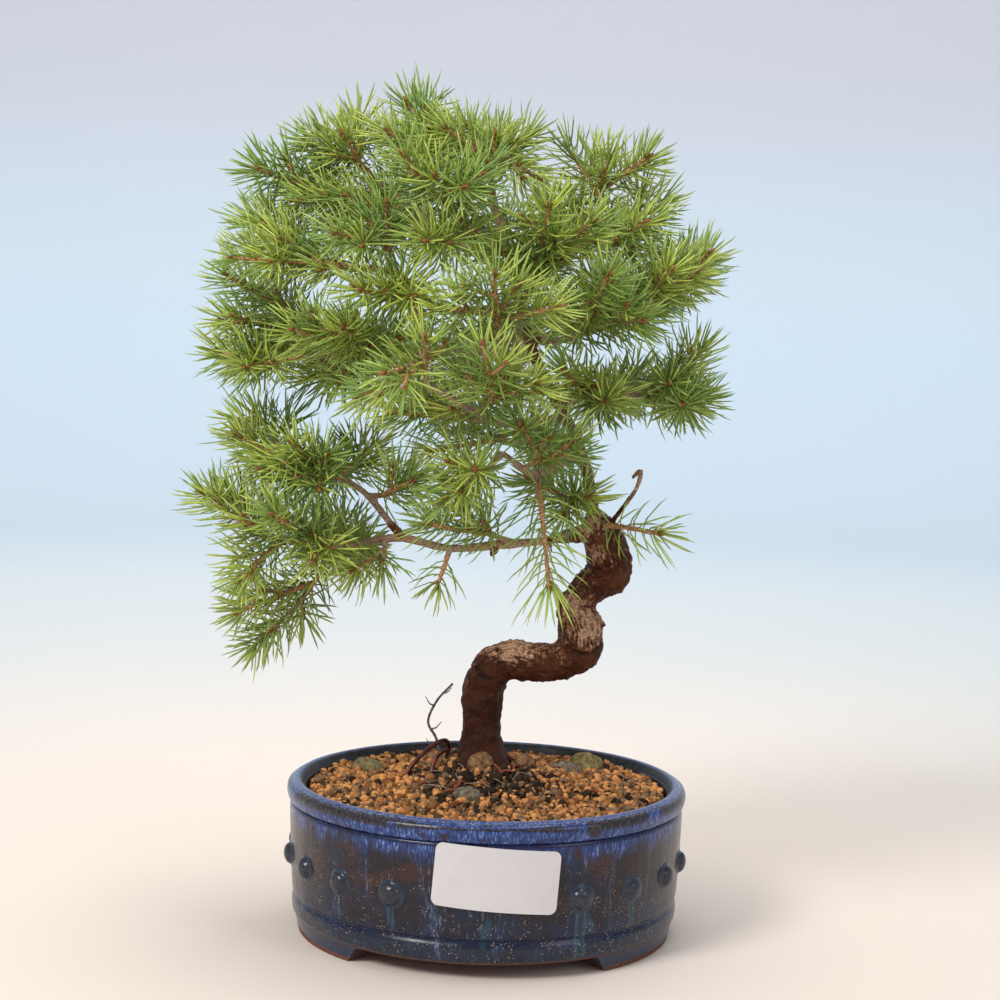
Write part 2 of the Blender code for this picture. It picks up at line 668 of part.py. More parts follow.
def needle_places(routes, owner, occupied):
    """(root, tip) of each needle of a spray, bent clear of what is near or else left out."""
    found = []
    for twig, route in enumerate(routes):
        total = length_of(route)
        first = BARE_STARTS[twig > 0] / total
        last = 1 - BUD_LENGTH / total
        count = max(3, round(total * (last - first) / NEEDLE_SPACING))
        for index in range(count + 1):
            share = first + (last - first) * index / count
            root = along(route, share)
            ahead = (along(route, min(1, share + 0.02)) - along(route, share - 0.02)).normalized()
            up = (Vector((0, 0, 1)) - ahead * ahead.z).normalized()
            face = FACE_ORDER[index % 4]
            for step, lean in TRIES:
                turn = math.radians(45 + 90 * (face + step)) + twig_tilt(twig)
                outward = Quaternion(ahead, turn) @ up
                angle = math.radians(lean - TIP_LEAN * share**2)
                tip = root + NEEDLE_LENGTH * (math.cos(angle) * ahead + math.sin(angle) * outward)
                clear_from = root.lerp(tip, 0.12)
                if occupied.is_clear(clear_from, tip, owner, NEEDLE_CLEARANCE):
                    found.append((root, tip))
                    occupied.add(clear_from, tip, NEEDLE_RADIUS, owner)
                    occupied.freeze()
                    break
    return found


def twig_tilt(twig):
    """Each fork's four sides are turned a little against those of the twig before it."""
    return math.radians(24 * twig)


def peg(name):
    """(x, y, z, radius) rows of the short stub of wood on which a spray begins."""
    main = twig_routes(name)[0]
    return [(*main[0], PEG_RADIUS), (*along(main, PEG_LENGTH / length_of(main)), PEG_RADIUS)]


def with_peg(rows):
    """A limb that runs on into the peg of the first spray at its end, and that spray's name."""
    for name, (lead, _) in SPRAYS.items():
        if lead[0] == tuple(rows[-1][:3]):
            return [*rows, peg(name)[1]], name
    return rows, None


def make_wood(collection, material, occupied):
    """The trunk with its roots, leader, limbs, dead snag and a peg for every spray, as one body."""
    parts = new_collection("wood_parts", hidden=True)
    rows, leader = with_peg([*smooth_route(TRUNK[:LEADER_START], 2), *TRUNK[LEADER_START:]])
    leaders = {leader}
    trunk = tube("trunk", rows, 2, collection, material)
    occupied.add_route(rows, "wood")
    for index, root in enumerate(ROOTS):
        tube(f"root_{index}", root, 0, parts)
    for name, limb in {**LIMBS, "snag": SNAG}.items():
        rows, leader = with_peg(limb)
        leaders.add(leader)
        tube(name, rows, 0, parts)
        occupied.add_route(rows, "wood")
    for name in SPRAYS:
        if name not in leaders:
            tube(name + "_peg", peg(name), 0, parts)
            occupied.add_route(peg(name), "wood")
    return shade(joined(trunk, "UNION", parts, "EXACT"))


def needle_mesh():
    """A pointed three-sided needle one millimetre long, to be stretched."""
    shape = bmesh.new()
    upright = Matrix.Translation((0, 0, 0.5 * MM))
    bmesh.ops.create_cone(
        shape,
        cap_ends=True,
        segments=3,
        radius1=NEEDLE_RADIUS * MM,
        radius2=0.0,
        depth=MM,
        matrix=upright,
    )
    bmesh.ops.remove_doubles(shape, verts=shape.verts, dist=1e-7)
    bmesh.ops.dissolve_degenerate(shape, edges=shape.edges, dist=1e-7)
    mesh = bpy.data.meshes.new("needle")
    shape.to_mesh(mesh)
    shape.free()
    return mesh


def make_spray(name, needle_shape, collection, material, occupied):
    """One needled spray: a slim twig with its forks, buds and needles, joined."""
    routes = twig_routes(name)
    routes[0] = cut_start(routes[0], PEG_LENGTH + GAP)
    spray = tube("spray_" + name, twig_with_bud(routes[0]), 0, collection, material)
    repeats = new_collection(name + "_repeats", hidden=True)
    for index, route in enumerate(routes[1:]):
        tube(f"{name}_fork_{index}", twig_with_bud(route), 0, repeats, tilt=twig_tilt(index + 1))
    for root, tip in needle_places(routes, name, occupied):
        direction = tip - root
        stretch = Matrix.Diagonal((1, 1, direction.length, 1))
        turn = direction.to_track_quat("Z", "Y").to_matrix().to_4x4()
        needle = bpy.data.objects.new("needle", needle_shape)
        needle.matrix_world = Matrix.Translation(root * MM) @ turn @ stretch
        repeats.objects.link(needle)
    return joined(spray, "UNION", repeats, "MANIFOLD")


def main():
    clear_scene()
    bonsai = new_collection("spruce_bonsai")
    materials = {name: make_material(name) for name in COLOURS}
    occupied = Occupied()

    make_pot(bonsai, materials["glaze"])
    make_label(bonsai, materials["label"])

    standing = new_collection("standing_in_soil", hidden=True)
    tube("trunk_hole", smooth_route(TRUNK[:LEADER_START], 2)[:9], 2, standing, extra=GAP + 0.15)
    for index, root in enumerate(ROOTS):
        tube(f"root_hole_{index}", root, 0, standing, extra=GAP + 0.15)
    for name, route in WIRES.items():
        rows = smooth_route([(*p, WIRE_RADIUS) for p in route], 2)
        tube(name, rows, 1, bonsai, materials["wire"])
        tube(name + "_hole", rows, 1, standing, extra=GAP)
        occupied.add_route([tuple(r) for r in rows], name)
    tube("dry_twig", DRY_TWIG, 1, bonsai, materials["dry_wood"])
    tube("dry_twig_hole", DRY_TWIG, 1, standing, extra=GAP)
    make_soil(bonsai, materials["grit"], standing)

    make_wood(bonsai, materials["bark"], occupied)
    for name in SPRAYS:
        routes = twig_routes(name)
        routes[0] = cut_start(routes[0], PEG_LENGTH + GAP)
        for route in routes:
            occupied.add_route(twig_with_bud(route), name)
    occupied.freeze()
    needle_shape = needle_mesh()
    for name in SPRAYS:
        make_spray(name, needle_shape, bonsai, materials["needles"], occupied)
    on_one_origin(bonsai)


main()
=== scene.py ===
"""The finished looks of a spruce bonsai in a round glazed drum pot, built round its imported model.

Sizes are in millimetres in the tables and become metres in the meshes. Places are given from the
point on the ground under the middle of the pot, with the front at -Y, as in the part's source.
"""

import functools
import json
import math
from collections import namedtuple

import bmesh
import bpy
import numpy as np
from bpy.props import FloatProperty, FloatVectorProperty, IntProperty, PointerProperty
from mathutils import Matrix, Vector, noise

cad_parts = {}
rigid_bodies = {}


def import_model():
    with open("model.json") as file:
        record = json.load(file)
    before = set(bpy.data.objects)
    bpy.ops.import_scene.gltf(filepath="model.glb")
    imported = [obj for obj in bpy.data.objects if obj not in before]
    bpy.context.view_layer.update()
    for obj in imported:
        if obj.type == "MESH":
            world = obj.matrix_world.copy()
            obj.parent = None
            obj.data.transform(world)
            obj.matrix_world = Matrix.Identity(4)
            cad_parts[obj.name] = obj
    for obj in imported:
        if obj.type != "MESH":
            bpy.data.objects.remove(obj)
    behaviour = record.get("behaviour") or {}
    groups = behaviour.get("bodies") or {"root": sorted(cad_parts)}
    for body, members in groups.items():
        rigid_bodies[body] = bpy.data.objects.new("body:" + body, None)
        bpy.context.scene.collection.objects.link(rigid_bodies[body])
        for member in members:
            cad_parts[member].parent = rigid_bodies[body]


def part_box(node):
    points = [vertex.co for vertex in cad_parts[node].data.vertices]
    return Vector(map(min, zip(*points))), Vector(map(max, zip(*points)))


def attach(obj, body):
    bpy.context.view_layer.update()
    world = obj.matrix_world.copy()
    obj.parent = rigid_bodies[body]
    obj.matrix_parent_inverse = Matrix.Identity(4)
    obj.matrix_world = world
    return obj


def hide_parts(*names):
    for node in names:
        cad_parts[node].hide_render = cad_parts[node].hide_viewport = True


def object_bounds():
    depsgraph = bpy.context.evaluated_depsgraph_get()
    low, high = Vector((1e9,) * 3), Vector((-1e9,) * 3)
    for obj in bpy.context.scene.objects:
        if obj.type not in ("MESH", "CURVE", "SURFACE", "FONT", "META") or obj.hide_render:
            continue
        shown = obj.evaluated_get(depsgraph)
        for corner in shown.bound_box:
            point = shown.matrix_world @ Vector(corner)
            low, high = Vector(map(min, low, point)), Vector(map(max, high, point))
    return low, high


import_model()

bl_info = {
    "name": "Spruce bonsai finish",
    "version": (1, 0, 0),
    "blender": (4, 5, 0),
    "location": "3D View > Sidebar > Bonsai",
    "description": "Builds the bark, needles, glaze and soil of a potted spruce bonsai",
    "category": "Object",
}

CAD_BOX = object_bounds()
MM = 0.001
PER_METRE = 1000
# The radius of a ring that closes to a point
TINY_RADIUS = 0.02
SOIL_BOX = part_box("soil")
POT_MIDDLE = np.array([(SOIL_BOX[0][i] + SOIL_BOX[1][i]) / 2 / MM for i in (0, 1)] + [0.0])
GOLDEN_TURN = math.pi * (3 - math.sqrt(5))
# Edges that bend more than this stay sharp
SHARP_ANGLE = math.radians(50)
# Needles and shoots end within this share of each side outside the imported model's box
BOX_MARGIN = 0.024

# Pot: its wall from the bottom up and its inside from the lip down, as (height, radius)
POT_WALL = [
    (7.2, 84.2),
    (9.5, 85.6),
    (14.0, 86.0),
    (17.0, 84.9),
    (19.5, 86.1),
    (34.0, 86.8),
    (55.0, 87.6),
    (57.6, 86.7),
    (58.8, 88.1),
    (62.0, 89.0),
    (64.8, 88.5),
    (66.8, 85.6),
]
POT_INSIDE = [
    (66.9, 84.0),
    (66.2, 82.6),
    (64.0, 81.4),
    (61.0, 80.4),
    (48.0, 81.4),
    (25.7, 80.4),
    (16.0, 75.5),
]
# Samples between the points of the wall and of the inside
WALL_SAMPLES = 6
INSIDE_SAMPLES = 5
POT_FLOOR = 13.7
POT_UNDERSIDE = 7.2
UNDERSIDE_RINGS = (78.0, 60.0, 44.0, 26.0, 12.0, 0.0)
FLOOR_RINGS = (0.0, 12.0, 26.0, 44.0, 60.0, 70.0)
# The radius at which a turn round the pot is measured along its wall
BELLY_RADIUS = 87.0
DRAIN_RADIUS = 8.0
DRAIN_OFFSET = 34.0
FOOT_OUTER_RADIUS = 84.6
FOOT_WIDTH = 13.0
FOOT_COUNT = 3
FOOT_SPAN = math.radians(46)
FIRST_FOOT = math.radians(-62)
# How far a foot narrows downwards, how far its top reaches into the bowl, and its inner edge's width
FOOT_INSET = 1.6
FOOT_OVERLAP = 2.0
FOOT_LEDGE = 1.2
# An arch between feet: the share of half a foot at which it starts and over which it rises, and how
# far it cuts into the bowl's underside
ARCH_START = 0.80
ARCH_CURL = 0.26
ARCH_RISE = 0.6
STUD_COUNT = 20
STUDS_UNDER_LABEL = 2
STUD_FIRST = math.radians(-8)
STUD_RADIUS = 4.7
STUD_RISE = 3.4
STUD_HEIGHT = 34.0
# A stud's outer edge and the middle of the glaze pooled round it, both in stud radii
STUD_REACH = 1.42
POOL_PLACE = 1.12
POOL_WIDTH = 0.62
POOL_THICKNESS = 0.34
# How far a stud's edge sinks into the wall, and how uneven its glaze is
STUD_EDGE_DEPTH = 0.47
STUD_UNEVENNESS = 0.10
# Runs of glaze below three of the studs: angle from the front, top, bottom, half-width, thickness
GLAZE_RUNS = [
    (math.radians(28), 31.0, 10.0, 2.2, 0.75),
    (math.radians(46), 31.0, 18.0, 1.8, 0.35),
    (math.radians(-26), 31.0, 22.0, 1.6, 0.25),
]

# Soil
SOIL_EDGE_HEIGHT = 62.6
MOUND_RISE = 10.5
MOUND_SPREAD = 30.0
MOUND_CENTRE = (-2.0, 12.0)
SOIL_REACH = 79.5
# Under the soil and up its side, as (radius, height)
SOIL_SIDES = [(TINY_RADIUS, 14.0), (70.0, 14.0), (77.3, 26.0), (80.3, 48.0), (79.5, 60.5)]
# Where the trunk stands in the soil, and how far round it no grains lie
TRUNK_FOOT = (-3.0, 15.0)
BARE_ROUND_TRUNK = 9.5
# The middle of the peat in front of the trunk, and how far it reaches
PEAT_CENTRE = (4.0, -6.0)
PEAT_REACH = 27.0
# Stones: where they lie, half-length, half-width, turn, rise and kind
STONES = [
    ((-55.0, 26.0), 9.0, 5.0, -25.0, 5.0, "olive"),
    ((46.0, 44.0), 9.0, 5.5, 20.0, 6.5, "lichen"),
    ((36.0, 28.0), 8.0, 4.5, 5.0, 4.0, "grey"),
    ((-8.0, -30.0), 7.0, 5.0, -30.0, 4.0, "grey"),
    ((-3.0, 0.5), 6.2, 5.0, 15.0, 5.5, "brown"),
    ((17.0, 12.0), 5.5, 4.0, 40.0, 5.0, "brown"),
]

# Sticker
LABEL_WIDTH = 52.0
LABEL_HEIGHT = 26.2
LABEL_THICKNESS = 0.5
LABEL_CENTRE_HEIGHT = 43.6
LABEL_RADIUS = 88.0
LABEL_AZIMUTH = math.radians(3.5)
LABEL_TILT = math.radians(-4.2)
LABEL_CORNER = 3.0

# Wood: routes as (x, y, z, radius); from its row 15 up, the trunk carries sprays of its own
NECK_ROW = 15
TRUNK = [
    (-3, 15, 52, 10.0),
    (-3, 15, 66, 10.6),
    (-3, 15, 75, 10.2),
    (-3, 14, 89, 9.0),
    (-3, 12, 102, 9.2),
    (0, 10, 113, 9.2),
    (8, 8, 119, 9.0),
    (19, 5, 119, 8.8),
    (30, 2, 120, 8.4),
    (39, 0, 126, 10.0),
    (40, -2, 135, 10.2),
    (38, -1, 145, 8.9),
    (44, 2, 154, 8.2),
    (52, 3, 161, 10.2),
    (51, 1, 171, 9.8),
    (46, -2, 182, 7.4),
    (44, -2, 188, 3.4),
    (43, -2, 193, 2.7),
    (40, 0, 208, 2.6),
    (34, 3, 223, 2.6),
    (26, 4, 237, 2.6),
    (18, 2, 252, 2.4),
    (12, 0, 267, 2.2),
    (7, 0, 285, 2.0),
    (3, -2, 302, 1.8),
    (-2, -2, 317, 1.6),
    (-5, -3, 330, 1.4),
]
ROOTS = [
    [(-3, 15, 78, 7.0), (-8, 5, 72, 5.0), (-12, -3, 65, 3.4), (-13, -6, 56, 2.6)],
    [(-3, 15, 78, 7.0), (3, 6, 73, 6.0), (7, 0, 67, 4.2), (8, -2, 57, 2.8)],
    [(-3, 15, 76, 6.0), (8, 17, 70, 4.2), (14, 18, 62, 3.2), (15, 18, 55, 2.4)],
    [(-3, 15, 76, 6.0), (-8, 24, 70, 4.0), (-11, 30, 62, 3.0), (-12, 32, 55, 2.4)],
]
SNAG = [
    (48, -4, 178, 2.6),
    (54, -8, 187, 1.3),
    (62, -10, 199, 1.2),
    (64, -8, 207, 0.9),
    (61, -4, 204, 0.7),
]
# Broken stubs on the trunk and under the low limb
STUBS = [
    [(43, 0, 139, 2.6), (48, -5, 139, 1.7), (51, -7, 138, 0.9)],
    [(40, 0, 148, 2.0), (33, -6, 149, 1.2), (31, -8, 150, 0.7)],
    [(1, -10, 173, 1.9), (0, -11, 170, 1.4), (-1, -12, 168, 0.8)],
    [(24, -8, 176, 1.6), (25, -11, 173, 1.1), (26, -12, 170, 0.6)],
]
LIMBS = {
    "low_left": [
        (45, -4, 179, 4.4),
        (36, -6, 178, 3.6),
        (23, -8, 175, 1.7),
        (3, -10, 173, 2.1),
        (-19, -12, 171, 1.6),
        (-40, -14, 175, 1.8),
        (-55, -12, 173, 1.5),
        (-69, -8, 170, 1.3),
    ],
    "mid_left": [(-40, -14, 175, 1.6), (-54, -8, 191, 1.4), (-64, -4, 198, 1.3), (-81, 2, 206, 1.2)],
    "left_shelf": [
        (15, 2, 257, 1.8),
        (-13, 4, 257, 1.6),
        (-39, 2, 256, 1.5),
        (-60, 0, 254, 1.4),
        (-82, -4, 253, 1.2),
    ],
    "upper_left": [(9, -2, 278, 1.8), (-22, -24, 275, 1.6), (-38, -34, 285, 1.5), (-47, -40, 293, 1.3)],
    "top_left": [(5, 0, 294, 1.7), (-21, 6, 306, 1.5), (-41, 8, 321, 1.4), (-57, 6, 332, 1.2)],
    "front_top": [(3, -2, 302, 1.6), (-12, -24, 311, 1.4), (-20, -36, 316, 1.2)],
    "top_right": [(9, 1, 281, 1.8), (24, 6, 294, 1.5), (35, 8, 305, 1.4), (42, 8, 317, 1.2)],
    "right": [(12, 0, 263, 1.8), (30, 0, 264, 1.5), (45, 0, 270, 1.4), (58, -2, 279, 1.2)],
    "right_mid": [(28, 4, 233, 1.8), (42, 6, 243, 1.6), (59, 8, 240, 1.4), (72, 5, 236, 1.2)],
    "front": [
        (29, 3, 229, 1.8),
        (3, -38, 227, 1.6),
        (-7, -52, 231, 1.4),
        (-18, -66, 238, 1.3),
        (-29, -76, 244, 1.2),
    ],
    "front_high": [(11, 0, 272, 1.7), (4, -36, 262, 1.4), (0, -62, 262, 1.2)],
    "front_low": [(37, 1, 213, 1.8), (18, -34, 206, 1.5), (3, -50, 215, 1.2)],
    "back": [(18, 2, 252, 1.8), (14, 30, 256, 1.5), (10, 52, 262, 1.2)],
    "back_high": [(5, 0, 294, 1.6), (4, 26, 302, 1.4), (2, 44, 310, 1.2)],
    "back_low": [(37, 1, 213, 1.7), (24, 26, 214, 1.4), (8, 44, 216, 1.2)],
}

# Knots as (place, radius), and dark splits round the trunk as (distance along it, half-width)
KNOTS = [
    ((43, -11, 131), 3.0),
    ((33, -9, 121), 2.2),
    ((50, -8, 166), 2.4),
    ((-9, 4, 108), 2.0),
    ((12, -1, 125), 1.8),
]
SPLITS = [(62.0, 1.5), (109.0, 1.2), (132.0, 1.6), (141.0, 1.0)]
# Where the bark is paler, as (place, radius)
PALE_PLACES = [
    ((43, -9, 136), 9.5),
    ((36, -8, 147), 5.0),
    ((8, -2, 127), 8.0),
    ((46, -6, 170), 5.0),
    ((40, -8, 183), 6.0),
    ((62, -8, 205), 12.0),
]

# Sprays: the route of the leading twig from the limb's axis to its bud, then the buds of its forks
SPRAYS = {
    "low_left_1": ([(-69, -8, 170), (-86, 6, 148), (-108, 10, 121)], [(-113, -6, 139)]),
    "low_left_2": (
        [(-69, -8, 170), (-105, -20, 182), (-128, -14, 192)],
        [(-110, -26, 156), (-114, 2, 190)],
    ),
    "low_left_3": ([(-60, -11, 172), (-80, -30, 181), (-92, -54, 187)], [(-76, -42, 167)]),
    "low_left_4": ([(-47, -13, 174), (-48, -26, 163)], [(-60, -32, 162)]),
    "low_left_5": ([(-19, -12, 171), (-24, -20, 155)], []),
    "low_left_6": ([(-55, -12, 173), (-64, 14, 170), (-86, 34, 164)], [(-72, 44, 178), (-62, 34, 160)]),
    "low_left_7": ([(8, -9.5, 173.5), (-14, -16, 188)], [(-30, -20, 182)]),
    "mid_left_1": ([(-81, 2, 206), (-115, 0, 218)], [(-110, 26, 227), (-106, 20, 206)]),
    "mid_left_2": ([(-64, -4, 198), (-86, -42, 217)], [(-100, -28, 204), (-74, -42, 198)]),
    "mid_left_3": ([(-56, -7, 192), (-38, 12, 198)], [(-36, -12, 200)]),
    "mid_left_4": ([(-66, -3, 199), (-76, 38, 206)], [(-56, 44, 214)]),
    "left_shelf_1": ([(-82, -4, 253), (-124, -8, 254)], [(-118, 16, 262), (-108, -28, 248)]),
    "left_shelf_2": ([(-62, 0, 254), (-92, -6, 276), (-120, -10, 288)], [(-124, 8, 268), (-98, 20, 268)]),
    "left_shelf_3": ([(-45, 2, 256), (-64, -54, 266)], [(-86, -42, 264), (-42, -44, 262)]),
    "left_shelf_4": ([(-56, 1, 254), (-86, 14, 243)], [(-68, -20, 243)]),
    "left_shelf_5": ([(-45, 2, 256), (-78, 58, 260)], [(-102, 38, 256), (-54, 54, 262)]),
    "upper_left_1": ([(-47, -40, 293), (-48, -52, 317)], [(-68, -62, 304)]),
    "upper_left_2": (
        [(-44, -38, 290), (-75, -32, 298), (-103, -22, 310)],
        [(-113, -36, 294), (-112, 4, 313)],
    ),
    "upper_left_3": ([(-36, -33, 284), (-56, -70, 281)], [(-34, -76, 279)]),
    "top_left_1": ([(-57, 6, 332), (-70, -6, 350)], [(-88, 10, 349), (-66, 26, 361)]),
    "top_left_2": ([(-41, 8, 321), (-66, -24, 322)], [(-88, -14, 320)]),
    "top_left_3": ([(-49, 7, 326), (-108, 2, 335)], [(-94, 30, 330)]),
    "top_left_4": ([(-30, 7, 312), (-52, 58, 322)], [(-76, 54, 308), (-50, 44, 340)]),
    "top_1": (
        [(-5, -3, 330), (-4, -16, 350)],
        [(11, 4, 353), (-25, -22, 352), (-12, 28, 352), (16, -14, 332)],
    ),
    "top_2": ([(-4, -3, 324), (-43, 6, 366)], [(-51, -16, 351), (-36, 32, 354)]),
    "front_top_1": ([(-20, -36, 316), (-41, -62, 337)], [(-15, -78, 323)]),
    "front_top_2": ([(-14, -27, 312), (-30, -80, 301)], [(-6, -58, 334)]),
    "top_right_1": ([(42, 8, 317), (46, 4, 345)], [(28, 18, 350), (63, -4, 344)]),
    "top_right_2": ([(36, 8, 307), (61, -28, 314)], [(72, 14, 326)]),
    "top_right_3": ([(18, 4, 289), (16, -40, 302), (19, -70, 317)], [(-2, -54, 300), (38, -56, 312)]),
    "top_right_4": ([(33, 8, 303), (50, 52, 322)], [(22, 54, 330), (68, 40, 306)]),
    "right_1": ([(58, -2, 279), (91, -8, 303)], [(86, 22, 304), (90, 12, 292)]),
    "right_2": ([(50, -1, 274), (72, -36, 294)], [(84, -22, 294)]),
    "right_3": ([(32, 0, 264), (44, -64, 290)], [(60, -50, 272), (26, -54, 276)]),
    "right_4": ([(42, 0, 269), (70, 50, 286)], [(80, 36, 292), (44, 60, 290)]),
    "right_mid_1": ([(72, 5, 236), (93, 0, 239)], [(84, 26, 240), (80, -22, 237)]),
    "right_mid_2": ([(60, 8, 240), (85, 10, 250), (91, 10, 261)], [(74, -24, 246)]),
    "right_mid_3": ([(40, 6, 242), (46, -40, 238)], [(28, -44, 250)]),
    "right_mid_4": ([(48, 7, 242), (66, 52, 250)], [(44, 60, 240), (78, 44, 234)]),
    "front_1": ([(-29, -76, 244), (-29, -92, 262)], [(-56, -74, 238), (-44, -96, 248)]),
    "front_2": ([(-8, -54, 232), (-2, -82, 244), (-6, -99, 260)], [(16, -88, 246)]),
    "front_3": ([(4, -36, 227), (-34, -42, 238)], [(-44, -30, 230)]),
    "front_high_1": ([(0, -62, 262), (-2, -92, 288)], [(24, -84, 276), (-26, -82, 274)]),
    "front_low_1": ([(3, -50, 215), (-22, -70, 196)], [(-8, -82, 210)]),
    "front_low_2": ([(18, -34, 206), (21, -50, 188), (24, -56, 160)], []),
    "front_low_3": ([(12, -40, 210), (32, -62, 222)], [(10, -74, 228)]),
    "right_low_1": ([(46, -8, 183), (56, -16, 185), (72, -24, 181)], []),
    "trunk_top_1": ([(43, -2, 193), (32, -14, 197), (15, -20, 203)], [(30, -30, 188)]),
    "back_1": ([(10, 52, 262), (4, 88, 272)], [(-20, 78, 266), (28, 82, 264)]),
    "back_2": ([(15, 24, 255), (-24, 50, 240)], [(-38, 44, 256)]),
    "back_high_1": ([(2, 44, 310), (0, 78, 322)], [(-26, 74, 312), (26, 74, 308)]),
    "back_low_1": ([(8, 44, 216), (-12, 72, 222)], [(-32, 52, 210), (22, 74, 224)]),
    "back_low_2": ([(26, 22, 214), (38, 46, 210)], [(20, 44, 196)]),
}
# How far a leading twig sags, where the first fork leaves it and how much further on the next ones
# do, all as shares of its length, and how much of it is a peg of the limb's wood, in millimetres
BOW = 0.07
FORK_START = 0.34
FORK_STEP = 0.14
PEG_LENGTH = 5.0

# Tie wires and the dry twig, which stand in the soil
WIRE_RADIUS = 1.0
WIRES = {
    "tie_wire_1": [
        (-36, 2, 58),
        (-36, 2, 67),
        (-29, 6, 76),
        (-21, 10, 81),
        (-18, 17, 78),
        (-19, 22, 68),
        (-19, 22, 61),
    ],
    "tie_wire_2": [(-25, 0, 58), (-25, 0, 68), (-23, 3, 75), (-18, 2, 79)],
}
DRY_TWIG = [
    (-22, 30, 58, 0.7),
    (-22, 30, 68, 0.7),
    (-24, 30, 78, 0.65),
    (-28, 30, 86, 0.6),
    (-24, 30, 96, 0.55),
    (-17, 30, 104, 0.5),
]

# Camera: its place from the pot's middle on the ground, its downward tilt and roll in radians, its lens
CAMERA_PLACE = (2.481, -886.099, 257.055)
CAMERA_DROP = 0.07342
CAMERA_ROLL = 0.02741
CAMERA_LENS = 72.0
CAMERA_SENSOR = 36.0
# How near and how far the camera sees, in metres
CAMERA_RANGE = (0.05, 20.0)


# Settings

def colour(name, description, default):
    return FloatVectorProperty(
        name=name, description=description, default=default, size=3, min=0.0, max=1.0, subtype="COLOR"
    )


def length(name, description, default):
    return FloatProperty(name=name, description=description, default=default, min=0.0, unit="LENGTH")


class PotSettings(bpy.types.PropertyGroup):
    blue: colour("Blue glaze", "The bright glaze under the lip", (0.018, 0.038, 0.165))
    pale: colour("Pale streaks", "The fine streaks where the glaze runs", (0.22, 0.32, 0.58))
    brown: colour("Brown glaze", "The dark glaze of the belly", (0.022, 0.010, 0.010))
    slate: colour("Slate glaze", "The blue that runs into the belly's brown", (0.010, 0.018, 0.042))
    clay: colour("Bare clay", "The unglazed foot", (0.15, 0.055, 0.028))
    steps: IntProperty(name="Steps", description="Faces round the pot", default=300, min=64)
    waviness: length("Waviness", "How far the glaze swells and thins", 0.00022)


class SoilSettings(bpy.types.PropertyGroup):
    ochre: colour("Ochre grains", "Baked clay grains", (0.62, 0.285, 0.095))
    drab: colour("Grey grains", "Pumice and lava grains", (0.26, 0.150, 0.080))
    dark: colour("Peat", "Dark lumps round the trunk", (0.036, 0.021, 0.012))
    grains: IntProperty(name="Grains", description="How many grains lie on the soil", default=5600, min=0)
    grain_size: length("Grain size", "The half-size of a middling grain", 0.00118)


class WoodSettings(bpy.types.PropertyGroup):
    bark: colour("Bark", "The trunk's bark", (0.098, 0.029, 0.010))
    # The worn colour also makes the painted highlight on bark that faces up
    crest: colour("Worn bark", "The bark's raised, weathered scales", (0.66, 0.385, 0.225))
    crack: colour("Cracks", "The depth of the cracks", (0.014, 0.006, 0.004))
    shoot: colour("Young bark", "The bark of twigs", (0.78, 0.390, 0.165))
    relief: FloatProperty(name="Relief", description="Strength of the bark's bumps", default=1.0, min=0.0)
    grain: length("Grain", "The spacing of the trunk's points", 0.00072)


class NeedleSettings(bpy.types.PropertyGroup):
    young: colour("Young needles", "Needles at the tips", (0.56, 0.66, 0.115))
    old: colour("Old needles", "Needles near the wood", (0.120, 0.205, 0.030))
    needle_length: length("Needle length", "The length of a middling needle", 0.0162)
    needle_width: length("Needle width", "The width of a needle at its middle", 0.00094)
    spacing: length("Spacing", "The length of twig to each needle", 0.00060)
    bud: colour("Buds", "The scales of the buds", (0.26, 0.085, 0.034))


class SmallPartSettings(bpy.types.PropertyGroup):
    paper: colour("Sticker", "The blank sticker", (0.67, 0.635, 0.64))
    wire: colour("Wire", "The tie wires' brown coating", (0.115, 0.030, 0.022))
    dead: colour("Dry twig", "The dead twig's bark", (0.20, 0.205, 0.18))


class StageSettings(bpy.types.PropertyGroup):
    floor: colour("Floor", "The pale floor", (0.89, 0.78, 0.685))
    light: FloatProperty(name="Light", description="Strength of the studio light", default=1.0, min=0.0)


# Mesh tools

class Gathered:
    """Points, faces, materials and painted values gathered for one mesh."""

    def __init__(self):
        self.points, self.faces, self.slots, self.values = [], [], [], []
        self.count = 0

    def add(self, points, faces, slot=0, **values):
        points = np.asarray(points, float).reshape(-1, 3)
        for face in faces if isinstance(faces, list) else [faces]:
            face = np.asarray(face, int)
            self.faces.append(face + self.count)
            self.slots.append(np.full(len(face), slot))
        self.values.append({k: np.broadcast_to(v, len(points)) for k, v in values.items()})
        self.points.append(points)
        self.count += len(points)

    def built(self, name, materials=(), smooth=True, move=True):
        points = np.concatenate(self.points)
        points = (points + (POT_MIDDLE if move else 0)) * MM
        corners = np.concatenate([f.ravel() for f in self.faces])
        sizes = np.concatenate([np.full(len(f), f.shape[1]) for f in self.faces])
        mesh = bpy.data.meshes.new(name)
        mesh.vertices.add(len(points))
        mesh.vertices.foreach_set("co", points.ravel())
        mesh.loops.add(len(corners))
        mesh.loops.foreach_set("vertex_index", corners)
        mesh.polygons.add(len(sizes))
        mesh.polygons.foreach_set("loop_start", np.concatenate([[0], np.cumsum(sizes)[:-1]]))
        mesh.polygons.foreach_set("material_index", np.concatenate(self.slots))
        mesh.update(calc_edges=True)
        for key in sorted({k for values in self.values for k in values}):
            data = [v.get(key, np.zeros(len(p))) for v, p in zip(self.values, self.points)]
            mesh.attributes.new(key, "FLOAT", "POINT").data.foreach_set("value", np.concatenate(data))
        for material in materials:
            mesh.materials.append(material)
        if smooth:
            mesh.shade_smooth()
        obj = bpy.data.objects.new(name, mesh)
        bpy.context.scene.collection.objects.link(obj)
        return obj


